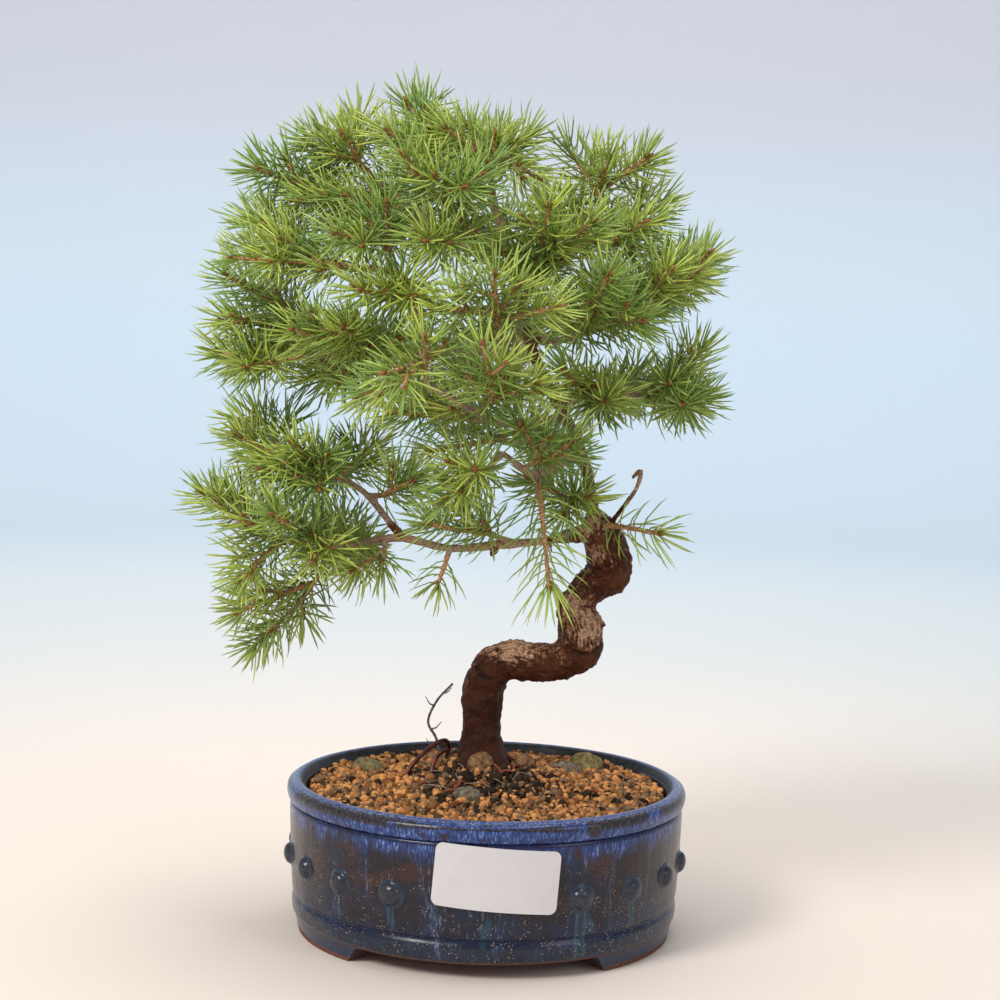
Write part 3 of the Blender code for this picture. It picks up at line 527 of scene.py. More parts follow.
def applied(obj):
    """The object with its modifiers made part of its mesh."""
    bpy.context.view_layer.update()
    graph = bpy.context.evaluated_depsgraph_get()
    mesh = bpy.data.meshes.new_from_object(obj.evaluated_get(graph))
    obj.modifiers.clear()
    obj.data = mesh
    return obj


def placed(obj, slot, *nodes):
    """The finished piece, riding on the object's one body in place of these CAD nodes."""
    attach(obj, "root")
    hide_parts(*nodes)


def noise_at(points, size, seed=0.0):
    """Smooth noise, about -1 to 1, for lumps of this size at points in millimetres."""
    return np.array([noise.noise(p) for p in (np.asarray(points) / size + seed).tolist()])


def cells_at(points, size, seed=0.0):
    """How far inside its cell each point is: 0 on the borders between cells of this size."""
    found = []
    for p in (np.asarray(points) / size + seed).tolist():
        near = noise.voronoi(p)[0]
        found.append(near[1] - near[0])
    return np.array(found)


def smooth_route(points, per_span):
    """Catmull-Rom samples through points of any number of values each."""
    given = [np.array(p, float) for p in points]
    ends = [2 * given[0] - given[1], *given, 2 * given[-1] - given[-2]]
    found = []
    for i in range(1, len(ends) - 2):
        a, b, c, d = ends[i - 1 : i + 3]
        slope, bend, twist = c - a, 2 * a - 5 * b + 4 * c - d, 3 * b - a - 3 * c + d
        for step in range(per_span):
            t = step / per_span
            found.append(0.5 * (2 * b + slope * t + bend * t**2 + twist * t**3))
    found.append(given[-1])
    return np.array(found)


def distances(route):
    """How far along its route each point is."""
    steps = np.linalg.norm(np.diff(route[:, :3], axis=0), axis=1)
    return np.concatenate([[0], np.cumsum(steps)])


def between(rows, place, wanted):
    """Rows at the wanted distances, where place is how far along each given row is."""
    return np.stack([np.interp(wanted, place, column) for column in rows.T], axis=-1)


def resampled(route, spacing):
    """Rows at even distances along a route."""
    far = distances(route)
    count = max(2, round(far[-1] / spacing) + 1)
    return between(route, far, np.linspace(0, far[-1], count))


def unit(vectors):
    return vectors / np.maximum(np.linalg.norm(vectors, axis=-1, keepdims=True), 1e-9)


def frames_along(route):
    """Directions along a route, with two side vectors that don't twist round it."""
    ahead = unit(np.gradient(route[:, :3], axis=0))
    side = np.zeros_like(ahead)
    start = np.array([0.0, 0.0, 1.0]) if abs(ahead[0][2]) < 0.9 else np.array([0.0, 1.0, 0.0])
    side[0] = unit(start - ahead[0] * (start @ ahead[0]))
    for i in range(1, len(route)):
        side[i] = unit(side[i - 1] - ahead[i] * (side[i - 1] @ ahead[i]))
    return ahead, side, np.cross(ahead, side)


def grid_quads(rows, columns, rows_meet=False, columns_meet=True):
    """Faces between the points of a grid, given row by row, that may meet round in each direction."""
    row_spans = rows if rows_meet else rows - 1
    column_spans = columns if columns_meet else columns - 1
    i, j = np.meshgrid(np.arange(row_spans), np.arange(column_spans), indexing="ij")
    n, k = (i + 1) % rows, (j + 1) % columns
    corners = [i * columns + j, i * columns + k, n * columns + k, n * columns + j]
    return np.stack(corners, axis=-1).reshape(-1, 4)


def swept(route, sides, swell=None):
    """(points, [quads, end faces]) of a closed tube round rows of (x, y, z, radius)."""
    _, side, other = frames_along(route)
    turn = np.linspace(0, math.tau, sides, endpoint=False)
    radius = route[:, 3][:, None] * (1 if swell is None else swell)
    ring = np.cos(turn)[None, :, None] * side[:, None] + np.sin(turn)[None, :, None] * other[:, None]
    points = route[:, None, :3] + ring * np.broadcast_to(radius, (len(route), sides))[..., None]
    ends = np.array([np.arange(sides)[::-1], np.arange(sides) + (len(route) - 1) * sides])
    return points.reshape(-1, 3), [grid_quads(len(route), sides), ends]


def turned(outline, steps):
    """(points, quads, azimuths) of a closed outline of (height, radius) turned round the pot's axis."""
    azimuth = np.linspace(0, math.tau, steps, endpoint=False)
    height, radius = np.array(outline, float).T
    x = radius[:, None] * np.sin(azimuth)
    y = -radius[:, None] * np.cos(azimuth)
    points = np.stack([x, y, np.broadcast_to(height[:, None], x.shape)], axis=-1)
    return points, grid_quads(len(outline), steps, rows_meet=True), azimuth


def round_the_pot(azimuth, radius, height):
    """Points round the pot, by their angle from the front, positive to the right."""
    azimuth, radius, height = np.broadcast_arrays(azimuth, radius, height)
    return np.stack([radius * np.sin(azimuth), -radius * np.cos(azimuth), height], axis=-1)


def lump_template(level):
    """(points, triangles) of a ball of unit radius."""
    shape = bmesh.new()
    bmesh.ops.create_icosphere(shape, subdivisions=level, radius=1.0)
    points = np.array([v.co for v in shape.verts])
    faces = np.array([[v.index for v in f.verts] for f in shape.faces])
    shape.free()
    return points, faces


def any_turn(rng):
    """A turn in space drawn at random."""
    w, x, y, z = unit(rng.normal(size=4))
    return np.array([
        [1 - 2 * (y * y + z * z), 2 * (x * y - z * w), 2 * (x * z + y * w)],
        [2 * (x * y + z * w), 1 - 2 * (x * x + z * z), 2 * (y * z - x * w)],
        [2 * (x * z - y * w), 2 * (y * z + x * w), 1 - 2 * (x * x + y * y)],
    ])


# Material tools

class Value:
    """A socket in a material, so that shader maths reads as sums."""

    def __init__(self, finish, socket):
        self.finish, self.socket = finish, socket

    def maths(self, operation, *others):
        return self.finish.node("ShaderNodeMath", {"operation": operation}, [self, *others])

    def __add__(self, other):
        return self.maths("ADD", other)

    def __sub__(self, other):
        return self.maths("SUBTRACT", other)

    def __mul__(self, other):
        return self.maths("MULTIPLY", other)

    def __truediv__(self, other):
        return self.maths("DIVIDE", other)

    def __pow__(self, other):
        return self.maths("POWER", other)

    def __rsub__(self, other):
        return self.maths("MULTIPLY_ADD", -1.0, other)

    __radd__ = __add__
    __rmul__ = __mul__

    def least(self, other):
        return self.maths("MINIMUM", other)

    def most(self, other):
        return self.maths("MAXIMUM", other)

    def step(self, low, high):
        """0 below low, 1 above high, and smooth between; low may be the higher of the two."""
        turned_round = low > high
        settings = {"interpolation_type": "SMOOTHSTEP"}
        ends = (high, low) if turned_round else (low, high)
        found = self.finish.node("ShaderNodeMapRange", settings, [self, *ends, 0.0, 1.0])
        return 1 - found if turned_round else found


class Finish:
    """A material being made, from a shader whose other settings are the same all over."""

    def __init__(self, name, **settings):
        self.material = bpy.data.materials.new(name)
        self.material.use_nodes = True
        self.tree = self.material.node_tree
        self.shader = self.tree.nodes["Principled BSDF"]
        for key, value in settings.items():
            self.shader.inputs[key.replace("_", " ").title().replace("Ior", "IOR")].default_value = value

    def node(self, kind, settings=None, inputs=(), output=0):
        """Adds a node: its settings first, then the value or link of each socket by place or name."""
        made = self.tree.nodes.new(kind)
        for key, value in (settings or {}).items():
            if key == "stops":
                self.set_stops(made.color_ramp, value)
            else:
                setattr(made, key, value)
        pairs = inputs.items() if isinstance(inputs, dict) else enumerate(inputs)
        for key, value in pairs:
            self.join(value, made.inputs[key])
        return Value(self, made.outputs[output])

    def join(self, value, socket):
        if isinstance(value, Value):
            self.tree.links.new(value.socket, socket)
        else:
            socket.default_value = value

    def set_stops(self, ramp, stops):
        while len(ramp.elements) < len(stops):
            ramp.elements.new(1.0)
        for element, (place, tint) in zip(ramp.elements, stops):
            element.position = place
            element.color = (*tint, 1.0)

    def place(self):
        """Where a point is, in metres."""
        return self.node("ShaderNodeTexCoord", output="Object")

    def axes(self, place):
        split = self.tree.nodes.new("ShaderNodeSeparateXYZ")
        self.join(place, split.inputs[0])
        return [Value(self, out) for out in split.outputs]

    def vector(self, x, y, z):
        return self.node("ShaderNodeCombineXYZ", inputs=[x, y, z])

    def noise(self, where, size, detail=3.0, roughness=0.55):
        """Smooth noise from 0 to 1 for lumps of this size in metres."""
        inputs = {"Vector": where, "Scale": 1 / size, "Detail": detail, "Roughness": roughness}
        return self.node("ShaderNodeTexNoise", inputs=inputs)

    def cells(self, where, size):
        """The distance to the middle of the nearest cell, for cells of this size in metres."""
        return self.node("ShaderNodeTexVoronoi", {"feature": "F1"}, {"Vector": where, "Scale": 1 / size})

    def painted(self, key):
        """A value painted on the mesh's points."""
        return self.node("ShaderNodeAttribute", {"attribute_name": key}, output="Fac")

    def mix(self, share, first, second):
        """Two colours mixed by a share."""
        made = self.tree.nodes.new("ShaderNodeMix")
        made.data_type = "RGBA"
        self.join(share, made.inputs["Factor"])
        for socket, value in ((made.inputs[6], first), (made.inputs[7], second)):
            self.join(value if isinstance(value, Value) else (*value, 1.0), socket)
        return Value(self, made.outputs[2])

    def ramp(self, value, stops):
        return self.node("ShaderNodeValToRGB", {"stops": stops}, [value], output="Color")

    def finished(self, tint, roughness, height=None, depth=0.0):
        """Joins the colour, the roughness and bumps of this depth in metres to the shader."""
        self.join(tint, self.shader.inputs["Base Color"])
        self.join(roughness, self.shader.inputs["Roughness"])
        if height is not None:
            bump = self.node("ShaderNodeBump", inputs={"Height": height, "Distance": depth, "Strength": 1.0})
            self.join(bump, self.shader.inputs["Normal"])
        return self.material


def scaled(tint, factor):
    return tuple(min(1.0, c * factor) for c in tint)


# Pot

GLAZE_TINTS = {
    "deep_blue": (0.012, 0.021, 0.050),
    "black_brown": (0.012, 0.008, 0.009),
    "red_brown": (0.046, 0.017, 0.014),
    "blue_streak": (0.055, 0.080, 0.165),
    "pale_run": (0.18, 0.22, 0.36),
    "teal": (0.018, 0.075, 0.115),
    "cobalt": (0.052, 0.105, 0.310),
    "violet": (0.016, 0.018, 0.080),
    "bare_patch": (0.030, 0.018, 0.020),
    "groove": (0.010, 0.009, 0.036),
    "low_groove": (0.005, 0.010, 0.042),
    "base": (0.018, 0.028, 0.050),
    "rim_brown": (0.022, 0.015, 0.013),
    "rim_tan": (0.075, 0.062, 0.052),
    "lip_blue": (0.045, 0.062, 0.21),
    "lip_pale": (0.16, 0.21, 0.40),
    "frost": (0.46, 0.48, 0.54),
    "inside_dark": (0.010, 0.010, 0.012),
    "inside_pale": (0.030, 0.034, 0.045),
    "run_rim": (0.030, 0.085, 0.135),
    "run_middle": (0.010, 0.026, 0.042),
    "speck": (0.46, 0.33, 0.19),
}
# Heights from the ground of the pot's two grooves, of the brown ring under its lip and of the lip's crest
GROOVE_HEIGHT = 57.0
LOW_GROOVE_HEIGHT = 17.0
BROWN_RING_HEIGHT = 64.2
LIP_CREST_HEIGHT = 66.0


def glaze_finish(s):
    """Blue glaze running over dark brown, with pale streaks, ochre specks and a bare underside."""
    f = Finish("pot_glaze", specular_ior_level=0.36)
    tints = GLAZE_TINTS
    place = f.place()
    x, y, z = f.axes(place)
    height = z * PER_METRE
    east, south = x - POT_MIDDLE[0] * MM, POT_MIDDLE[1] * MM - y
    away = (east**2 + south**2).maths("SQRT") * PER_METRE
    angle = east.maths("ARCTAN2", south)
    streak = f.noise(f.vector(x, y, z * 0.09), 0.0040, 5.0, 0.62)
    fine = f.noise(f.vector(x, y, z * 0.22), 0.00075, 3.0, 0.6)
    broad = f.noise(f.vector(x, y, z * 0.5), 0.026, 3.0, 0.5)
    mottle = f.noise(place, 0.0036, 4.0, 0.6)
    blotch = f.noise(f.vector(x, y, z * 0.7), 0.011, 4.0, 0.6)
    swathe = f.noise(f.vector(x, y, z * 1.6), 0.019, 2.0, 0.5)

    belly = f.mix(broad.step(0.40, 0.60), tuple(s.brown), tuple(s.slate))
    belly = f.mix(height.step(36.0, 18.0) * mottle.step(0.26, 0.58), belly, tints["deep_blue"])
    belly = f.mix(blotch.step(0.60, 0.42) * 0.6, belly, tints["black_brown"])
    belly = f.mix(swathe.step(0.54, 0.66) * height.step(20.0, 34.0) * 0.8, belly, tints["red_brown"])
    belly = f.mix(streak.step(0.56, 0.72) * 0.6, belly, tints["blue_streak"])
    run = fine.step(0.50, 0.66) * streak.step(0.50, 0.62) * broad.step(0.46, 0.56)
    belly = f.mix(run * 0.75, belly, tints["pale_run"])
    teal = f.noise(f.vector(x, y, z * 0.4), 0.007, 3.0).step(0.58, 0.70) * height.step(34.0, 22.0)
    belly = f.mix(teal * 0.6, belly, tints["teal"])

    edge = height + streak * 22.0 + blotch * 22.0 + fine * 3.0
    band = edge.step(71.0, 81.0) * height.step(40.0, 54.0)
    cobalt = f.mix(fine.step(0.40, 0.60), scaled(s.blue, 0.8), tints["cobalt"])
    cobalt = f.mix(fine.step(0.54, 0.68) * mottle.step(0.42, 0.58), cobalt, tuple(s.pale))
    cobalt = f.mix(mottle.step(0.52, 0.40) * 0.5, cobalt, tints["violet"])
    cobalt = f.mix(blotch.step(0.44, 0.34) * 0.9, cobalt, tints["bare_patch"])
    tint = f.mix(band, belly, cobalt)
    wander = (blotch - 0.5) * 3.0 + (mottle - 0.5) * 1.6
    groove = (height - GROOVE_HEIGHT + wander * 0.3).maths("ABSOLUTE").step(1.5, 0.3)
    tint = f.mix(groove * 0.85, tint, tints["groove"])
    low_groove = (height - LOW_GROOVE_HEIGHT).maths("ABSOLUTE").step(2.4, 0.6)
    tint = f.mix(low_groove * 0.75, tint, tints["low_groove"])
    tint = f.mix(height.step(15.6, 12.5) * mottle.step(0.32, 0.56) * 0.8, tint, tints["base"])
    aside = angle.maths("ABSOLUTE").step(0.10, 0.55)
    from_ring = (height - BROWN_RING_HEIGHT + wander * 0.7).maths("ABSOLUTE")
    ring = (from_ring / (0.4 + aside * 1.7)).step(1.35, 0.55) * swathe.step(0.30, 0.42)
    ring_tint = f.mix(fine.step(0.45, 0.7), tints["rim_brown"], tints["rim_tan"])
    tint = f.mix(ring * 0.94, tint, ring_tint)
    lip = (height + wander * 0.20).step(65.9, 66.4)
    lip_tint = f.mix(fine.step(0.42, 0.60), tints["lip_blue"], tints["lip_pale"])
    tint = f.mix(lip * mottle.step(0.26, 0.48), tint, lip_tint)
    crest = (height - LIP_CREST_HEIGHT).maths("ABSOLUTE").step(0.9, 0.2)
    frost = f.noise(place, 0.0006, 3.0, 0.7).step(0.54, 0.64) * crest
    tint = f.mix(frost * 0.75, tint, tints["frost"])
    inside = away.step(84.4, 82.6) * height.step(10.0, 14.0)
    inside_tint = f.mix(mottle.step(0.4, 0.7), tints["inside_dark"], tints["inside_pale"])
    tint = f.mix(inside, tint, inside_tint)

    for middle, top, bottom, half, thick in GLAZE_RUNS:
        across = (angle - middle).maths("ABSOLUTE") * BELLY_RADIUS
        span = height.step(bottom - 1.5, bottom + 0.5) * height.step(top + 4.0, top - 2.0)
        width = half * (0.75 + thick)
        tint = f.mix(across.step(width, width * 0.55) * span * 0.85, tint, tints["run_rim"])
        tint = f.mix(across.step(width * 0.6, width * 0.3) * span * 0.85, tint, tints["run_middle"])

    sparse = f.noise(place, 0.008, 2.0).step(0.36, 0.60) * height.step(60.0, 26.0).most(0.10)
    grain = f.noise(place, 0.0031, 2.0).step(0.40, 0.62)
    specks = f.cells(place, 0.00115).step(0.34, 0.16) * sparse * grain * (1 - inside)
    tint = f.mix(specks * 0.80, tint, tints["speck"])
    bare = (height + mottle * 1.6).step(9.0, 8.2)
    clay = f.mix(mottle, scaled(s.clay, 0.7), scaled(s.clay, 1.25))
    tint = f.mix(bare, tint, clay)
    roughness = (0.16 + 0.16 * mottle + 0.25 * specks + 0.2 * inside).most(bare * 0.85)
    relief = mottle * 0.6 + streak * 0.4 + blotch * 0.6 - specks * 0.4
    return f.finished(tint, roughness, relief, 0.00026)


STUD_TINTS = {
    "dome_dark": (0.018, 0.016, 0.022),
    "dome_pale": (0.038, 0.042, 0.062),
    "pool_dark": (0.010, 0.020, 0.045),
    "pool_pale": (0.022, 0.050, 0.085),
    "edge": (0.018, 0.014, 0.020),
}


def stud_finish():
    """Dark glaze worn thin over the studs, pooled teal round them."""
    f = Finish("stud_glaze", specular_ior_level=0.45)
    place = f.place()
    ring = f.painted("out")
    mottle = f.noise(place, 0.0016, 3.0)
    dome = f.mix(mottle.step(0.35, 0.7), STUD_TINTS["dome_dark"], STUD_TINTS["dome_pale"])
    pooled = f.mix(mottle.step(0.3, 0.7), STUD_TINTS["pool_dark"], STUD_TINTS["pool_pale"])
    tint = f.mix(ring.step(0.70, 0.80) * ring.step(1.0, 0.86), dome, pooled)
    tint = f.mix(ring.step(0.86, 1.0), tint, STUD_TINTS["edge"])
    return f.finished(tint, 0.16 + 0.16 * mottle, mottle, 0.00012)


def wall_outline():
    """(height, radius) rows down the outside, across the underside and up the inside of the pot."""
    outside = smooth_route(POT_WALL[::-1], WALL_SAMPLES)
    under = [(POT_UNDERSIDE, r) for r in UNDERSIDE_RINGS]
    floor = [(POT_FLOOR, r) for r in FLOOR_RINGS]
    inside = smooth_route(POT_INSIDE[::-1], INSIDE_SAMPLES)
    return np.concatenate([outside, under, floor, inside])


def wall_radius(height):
    rows = smooth_route(POT_WALL, WALL_SAMPLES)
    return np.interp(height, rows[:, 0], rows[:, 1])


def run_relief(azimuth, height):
    """How far the runs of glaze stand out from the wall, with a drop at the foot of each."""
    relief = np.zeros(height.shape)
    for middle, top, bottom, half, thick in GLAZE_RUNS:
        across = ((azimuth - middle + math.pi) % math.tau - math.pi) * BELLY_RADIUS
        from_drop = height - bottom - 2
        width = half * (0.62 + 0.38 * np.exp(-((from_drop / 2.6) ** 2)))
        depth = thick * (0.55 + 0.45 * np.exp(-((from_drop / 3.0) ** 2)))
        inside_run = np.clip((height - bottom) / 1.5, 0, 1) * np.clip((top - height) / 4.0, 0, 1)
        relief += depth * inside_run * np.exp(-((across / width) ** 2) * 1.6)
    return relief


def cut_drains(pot):
    """Cuts the drain holes through the pot's floor."""
    drains = bpy.data.collections.new("drains")
    bpy.context.scene.collection.children.link(drains)
    for side in (-1, 1):
        drain = bmesh.new()
        bmesh.ops.create_cone(
            drain,
            cap_ends=True,
            segments=48,
            radius1=DRAIN_RADIUS * MM,
            radius2=DRAIN_RADIUS * MM,
            depth=4 * POT_FLOOR * MM,
            matrix=Matrix.Translation((side * DRAIN_OFFSET * MM, 0, POT_FLOOR * MM / 2)),
        )
        mesh = bpy.data.meshes.new("drain")
        drain.to_mesh(mesh)
        drain.free()
        drains.objects.link(bpy.data.objects.new("drain", mesh))
    cut = pot.modifiers.new("drains", "BOOLEAN")
    cut.operation, cut.operand_type, cut.collection, cut.solver = "DIFFERENCE", "COLLECTION", drains, "EXACT"
    applied(pot)
    for drain in list(drains.objects):
        bpy.data.objects.remove(drain)
    bpy.data.collections.remove(drains)


def make_pot(s):
    """The turned bowl with its glaze runs, foot ring and drain holes."""
    outline = wall_outline()
    points, quads, azimuth = turned(outline, s.steps)
    radius = np.broadcast_to(outline[:, 1][:, None], points.shape[:2]).copy()
    height = points[..., 2]
    outside = np.zeros(points.shape[:2], bool)
    outside[: len(smooth_route(POT_WALL, WALL_SAMPLES))] = True
    wave = noise_at(points.reshape(-1, 3) * (1, 1, 0.35), 14.0).reshape(radius.shape)
    ripple = noise_at(points.reshape(-1, 3) * (1, 1, 0.5), 4.0, 7.0).reshape(radius.shape)
    radius += outside * ((wave + 0.35 * ripple) * s.waviness / MM + run_relief(azimuth, height))
    points[..., 0] = radius * np.sin(azimuth)
    points[..., 1] = -radius * np.cos(azimuth)
    shell = Gathered()
    shell.add(points, quads)
    pot = shell.built("pot_body", [glaze_finish(s)], move=False)
    shape = bmesh.new()
    shape.from_mesh(pot.data)
    bmesh.ops.remove_doubles(shape, verts=shape.verts, dist=1e-6)
    bmesh.ops.dissolve_degenerate(shape, edges=shape.edges, dist=1e-6)
    bmesh.ops.recalc_face_normals(shape, faces=shape.faces)
    shape.to_mesh(pot.data)
    shape.free()
    cut_drains(pot)
    pot.data.transform(Matrix.Translation(Vector(POT_MIDDLE) * MM))
    pot.data.shade_smooth()
    pot.data.set_sharp_from_angle(angle=SHARP_ANGLE)
    placed(pot, "glaze", "pot")
    placed(make_feet(s), "glaze", "pot")
    placed(make_studs(), "glaze", "pot")


FOOT_GLAZE_DARK = (0.010, 0.018, 0.045)
FOOT_GLAZE_PALE = (0.022, 0.034, 0.070)


def clay_finish(s):
    """Rough bare clay under the feet, with glaze on their outer face."""
    f = Finish("bare_clay")
    place = f.place()
    rough = f.noise(place, 0.0012, 4.0)
    _, _, z = f.axes(place)
    tint = f.mix(rough.step(0.3, 0.7), scaled(s.clay, 0.65), scaled(s.clay, 1.3))
    glazed = (z * PER_METRE + 1.6 * f.noise(place, 0.006, 2.0)).step(2.2, 3.2) * f.painted("outer")
    tint = f.mix(glazed, tint, f.mix(rough, FOOT_GLAZE_DARK, FOOT_GLAZE_PALE))
    return f.finished(tint, 0.85 - 0.65 * glazed, rough, 0.0002)


def make_feet(s):
    """The foot ring, cut into three feet by low arches with curled ends."""
    steps, outer_rows = 540, 7
    azimuth = np.linspace(0, math.tau, steps, endpoint=False)
    turn = (azimuth - FIRST_FOOT) % (math.tau / FOOT_COUNT)
    away = np.minimum(turn, math.tau / FOOT_COUNT - turn) / (FOOT_SPAN / 2)
    rise = np.clip((away - ARCH_START) / ARCH_CURL, 0, 1)
    rise = rise * rise * (3 - 2 * rise)
    low = (POT_UNDERSIDE + ARCH_RISE) * rise
    inset = FOOT_INSET * (1 - rise)
    top = POT_UNDERSIDE + FOOT_OVERLAP
    inner = FOOT_OUTER_RADIUS - FOOT_WIDTH
    rows = []
    for share in np.linspace(0, 1, outer_rows):
        rows.append((FOOT_OUTER_RADIUS - inset * (1 - share) ** 0.6, low + (top - low) * share))
    for share in (1.0, 0.75, 0.5, 0.25, 0.0):
        rows.append((inner + inset * (1 - share), low + (top - low) * share))
    rows.append((inner + inset + FOOT_LEDGE, low))
    points = np.stack([round_the_pot(azimuth, r, h) for r, h in rows])
    outer = np.repeat([1.0] * outer_rows + [0.0] * (len(rows) - outer_rows), steps)
    feet = Gathered()
    feet.add(points, grid_quads(len(rows), steps, rows_meet=True), outer=outer)
    made = feet.built("pot_feet", [clay_finish(s)])
    made.data.set_sharp_from_angle(angle=SHARP_ANGLE)
    return made


def make_studs():
    """Domed studs with a rim of pooled glaze round each."""
    around, rings = 28, 13
    share = np.linspace(0, 1, rings)
    turn = np.linspace(0, math.tau, around, endpoint=False)
    out = share * STUD_RADIUS * STUD_REACH
    dome = STUD_RISE * np.sqrt(np.clip(1 - (out / STUD_RADIUS) ** 2, 0, 1)) ** 0.85
    pool = POOL_THICKNESS * np.exp(-(((out - STUD_RADIUS * POOL_PLACE) / POOL_WIDTH) ** 2))
    lift = np.maximum(dome, pool) - STUD_EDGE_DEPTH * (share >= 1)
    across = np.outer(np.maximum(out, TINY_RADIUS), np.cos(turn))
    height = STUD_HEIGHT + np.outer(np.maximum(out, TINY_RADIUS), np.sin(turn))
    facing_out = grid_quads(rings, around)[:, [0, 3, 2, 1]]
    studs = Gathered()
    for index in range(STUDS_UNDER_LABEL, STUD_COUNT):
        middle = STUD_FIRST + index * math.tau / STUD_COUNT
        spots = round_the_pot(middle, BELLY_RADIUS, height) + across[..., None]
        uneven = noise_at(spots.reshape(-1, 3), 3.0, index).reshape(height.shape)
        radius = wall_radius(height) + lift[:, None] + STUD_UNEVENNESS * uneven
        points = round_the_pot(middle + across / BELLY_RADIUS, radius, height)
        studs.add(points, facing_out, out=np.repeat(share, around))
    return studs.built("pot_studs", [stud_finish()])


# Soil

def soil_height(x, y):
    """The soil's surface without its grains: nearly flat, with a mound round the trunk."""
    away = np.hypot(x - MOUND_CENTRE[0], y - MOUND_CENTRE[1])
    return SOIL_EDGE_HEIGHT + MOUND_RISE * np.exp(-((away / MOUND_SPREAD) ** 2))


def bed_finish(s):
    """Packed crumbs in ochre, brown and black, seen between the loose grains."""
    f = Finish("soil_bed", specular_ior_level=0.2)
    place = f.place()
    crumb = f.cells(place, 0.0021)
    kind = f.noise(place, 0.0026, 2.0)
    tint = f.ramp(kind, [
        (0.0, scaled(s.dark, 0.8)),
        (0.42, scaled(s.drab, 0.6)),
        (0.56, scaled(s.ochre, 0.55)),
        (0.75, scaled(s.ochre, 0.9)),
    ])
    x, y, _ = f.axes(place)
    east, north = x - (POT_MIDDLE[0] + PEAT_CENTRE[0]) * MM, y - (POT_MIDDLE[1] + PEAT_CENTRE[1]) * MM
    away = (east**2 + north**2).maths("SQRT") * PER_METRE
    peaty = (away + 14 * f.noise(place, 0.012, 2.0)).step(38.0, 26.0)
    peat = f.mix(kind.step(0.4, 0.6), scaled(s.dark, 0.7), scaled(s.dark, 2.2))
    relief = (1 - crumb) + 0.5 * f.noise(place, 0.0008, 2.0)
    return f.finished(f.mix(peaty, tint, peat), 0.95, relief, 0.0009)


def grain_finish(name, tint, spread, speckle):
    """Baked crumbs, each grain its own tint."""
    f = Finish(name, specular_ior_level=0.25)
    place = f.place()
    shade = f.painted("shade")
    pores = f.noise(place, 0.0006, 3.0)
    redder = (tint[0] * 0.9, tint[1] * 0.75, tint[2] * 0.7)
    own = f.mix(shade, scaled(redder, 1 - spread), scaled(tint, 1 + spread))
    own = f.mix((shade * 7.3).maths("FRACT").step(0.72, 0.95), own, speckle)
    own = f.mix(pores.step(0.55, 0.30) * 0.5, own, scaled(tint, 0.35))
    return f.finished(own, 0.9, pores, 0.00035)


def make_soil(s):
    """The bed of soil, its loose grains, lumps of peat, stones, root fibres and twig bits."""
    rings, sectors = 70, 230
    azimuth = np.linspace(0, math.tau, sectors, endpoint=False)
    rows = [round_the_pot(azimuth, radius, height) for radius, height in SOIL_SIDES]
    for width in np.linspace(SOIL_REACH - 0.4, 0.0, rings):
        row = round_the_pot(azimuth, max(width, TINY_RADIUS), 0.0)
        row[:, 2] = soil_height(row[:, 0], row[:, 1])
        crumbs = 0.75 * noise_at(row, 2.6) + 0.6 * noise_at(row, 7.0, 5.0)
        row[:, 2] += crumbs * min(1.0, (SOIL_REACH - width) / 2)
        rows.append(row)
    bed = Gathered()
    bed.add(np.stack(rows), grid_quads(len(rows), sectors))
    placed(bed.built("soil_bed", [bed_finish(s)]), "grit", "soil")
    make_grains(s)
    make_stones()
    make_bits()


# The share of ochre grains away from the trunk, and that of ochre and grey together; the rest is peat
OCHRE_SHARE = 0.62
OCHRE_AND_GREY_SHARE = 0.93
# At the middle of the peat: the chance of a dark grain, and the share of those that are peat
DARK_CHANCE = 0.74
PEAT_SHARE = 0.70
# The share of peat grains that are big lumps, and how much bigger they are
LUMP_SHARE = 0.25
LUMP_GROWTH = 1.5
# The largest half-size of a grain, and that above which a grain has more faces
LARGEST_GRAIN = 2.4
DETAILED_GRAIN = 1.25
GREY_SPECKLE = (0.24, 0.16, 0.095)


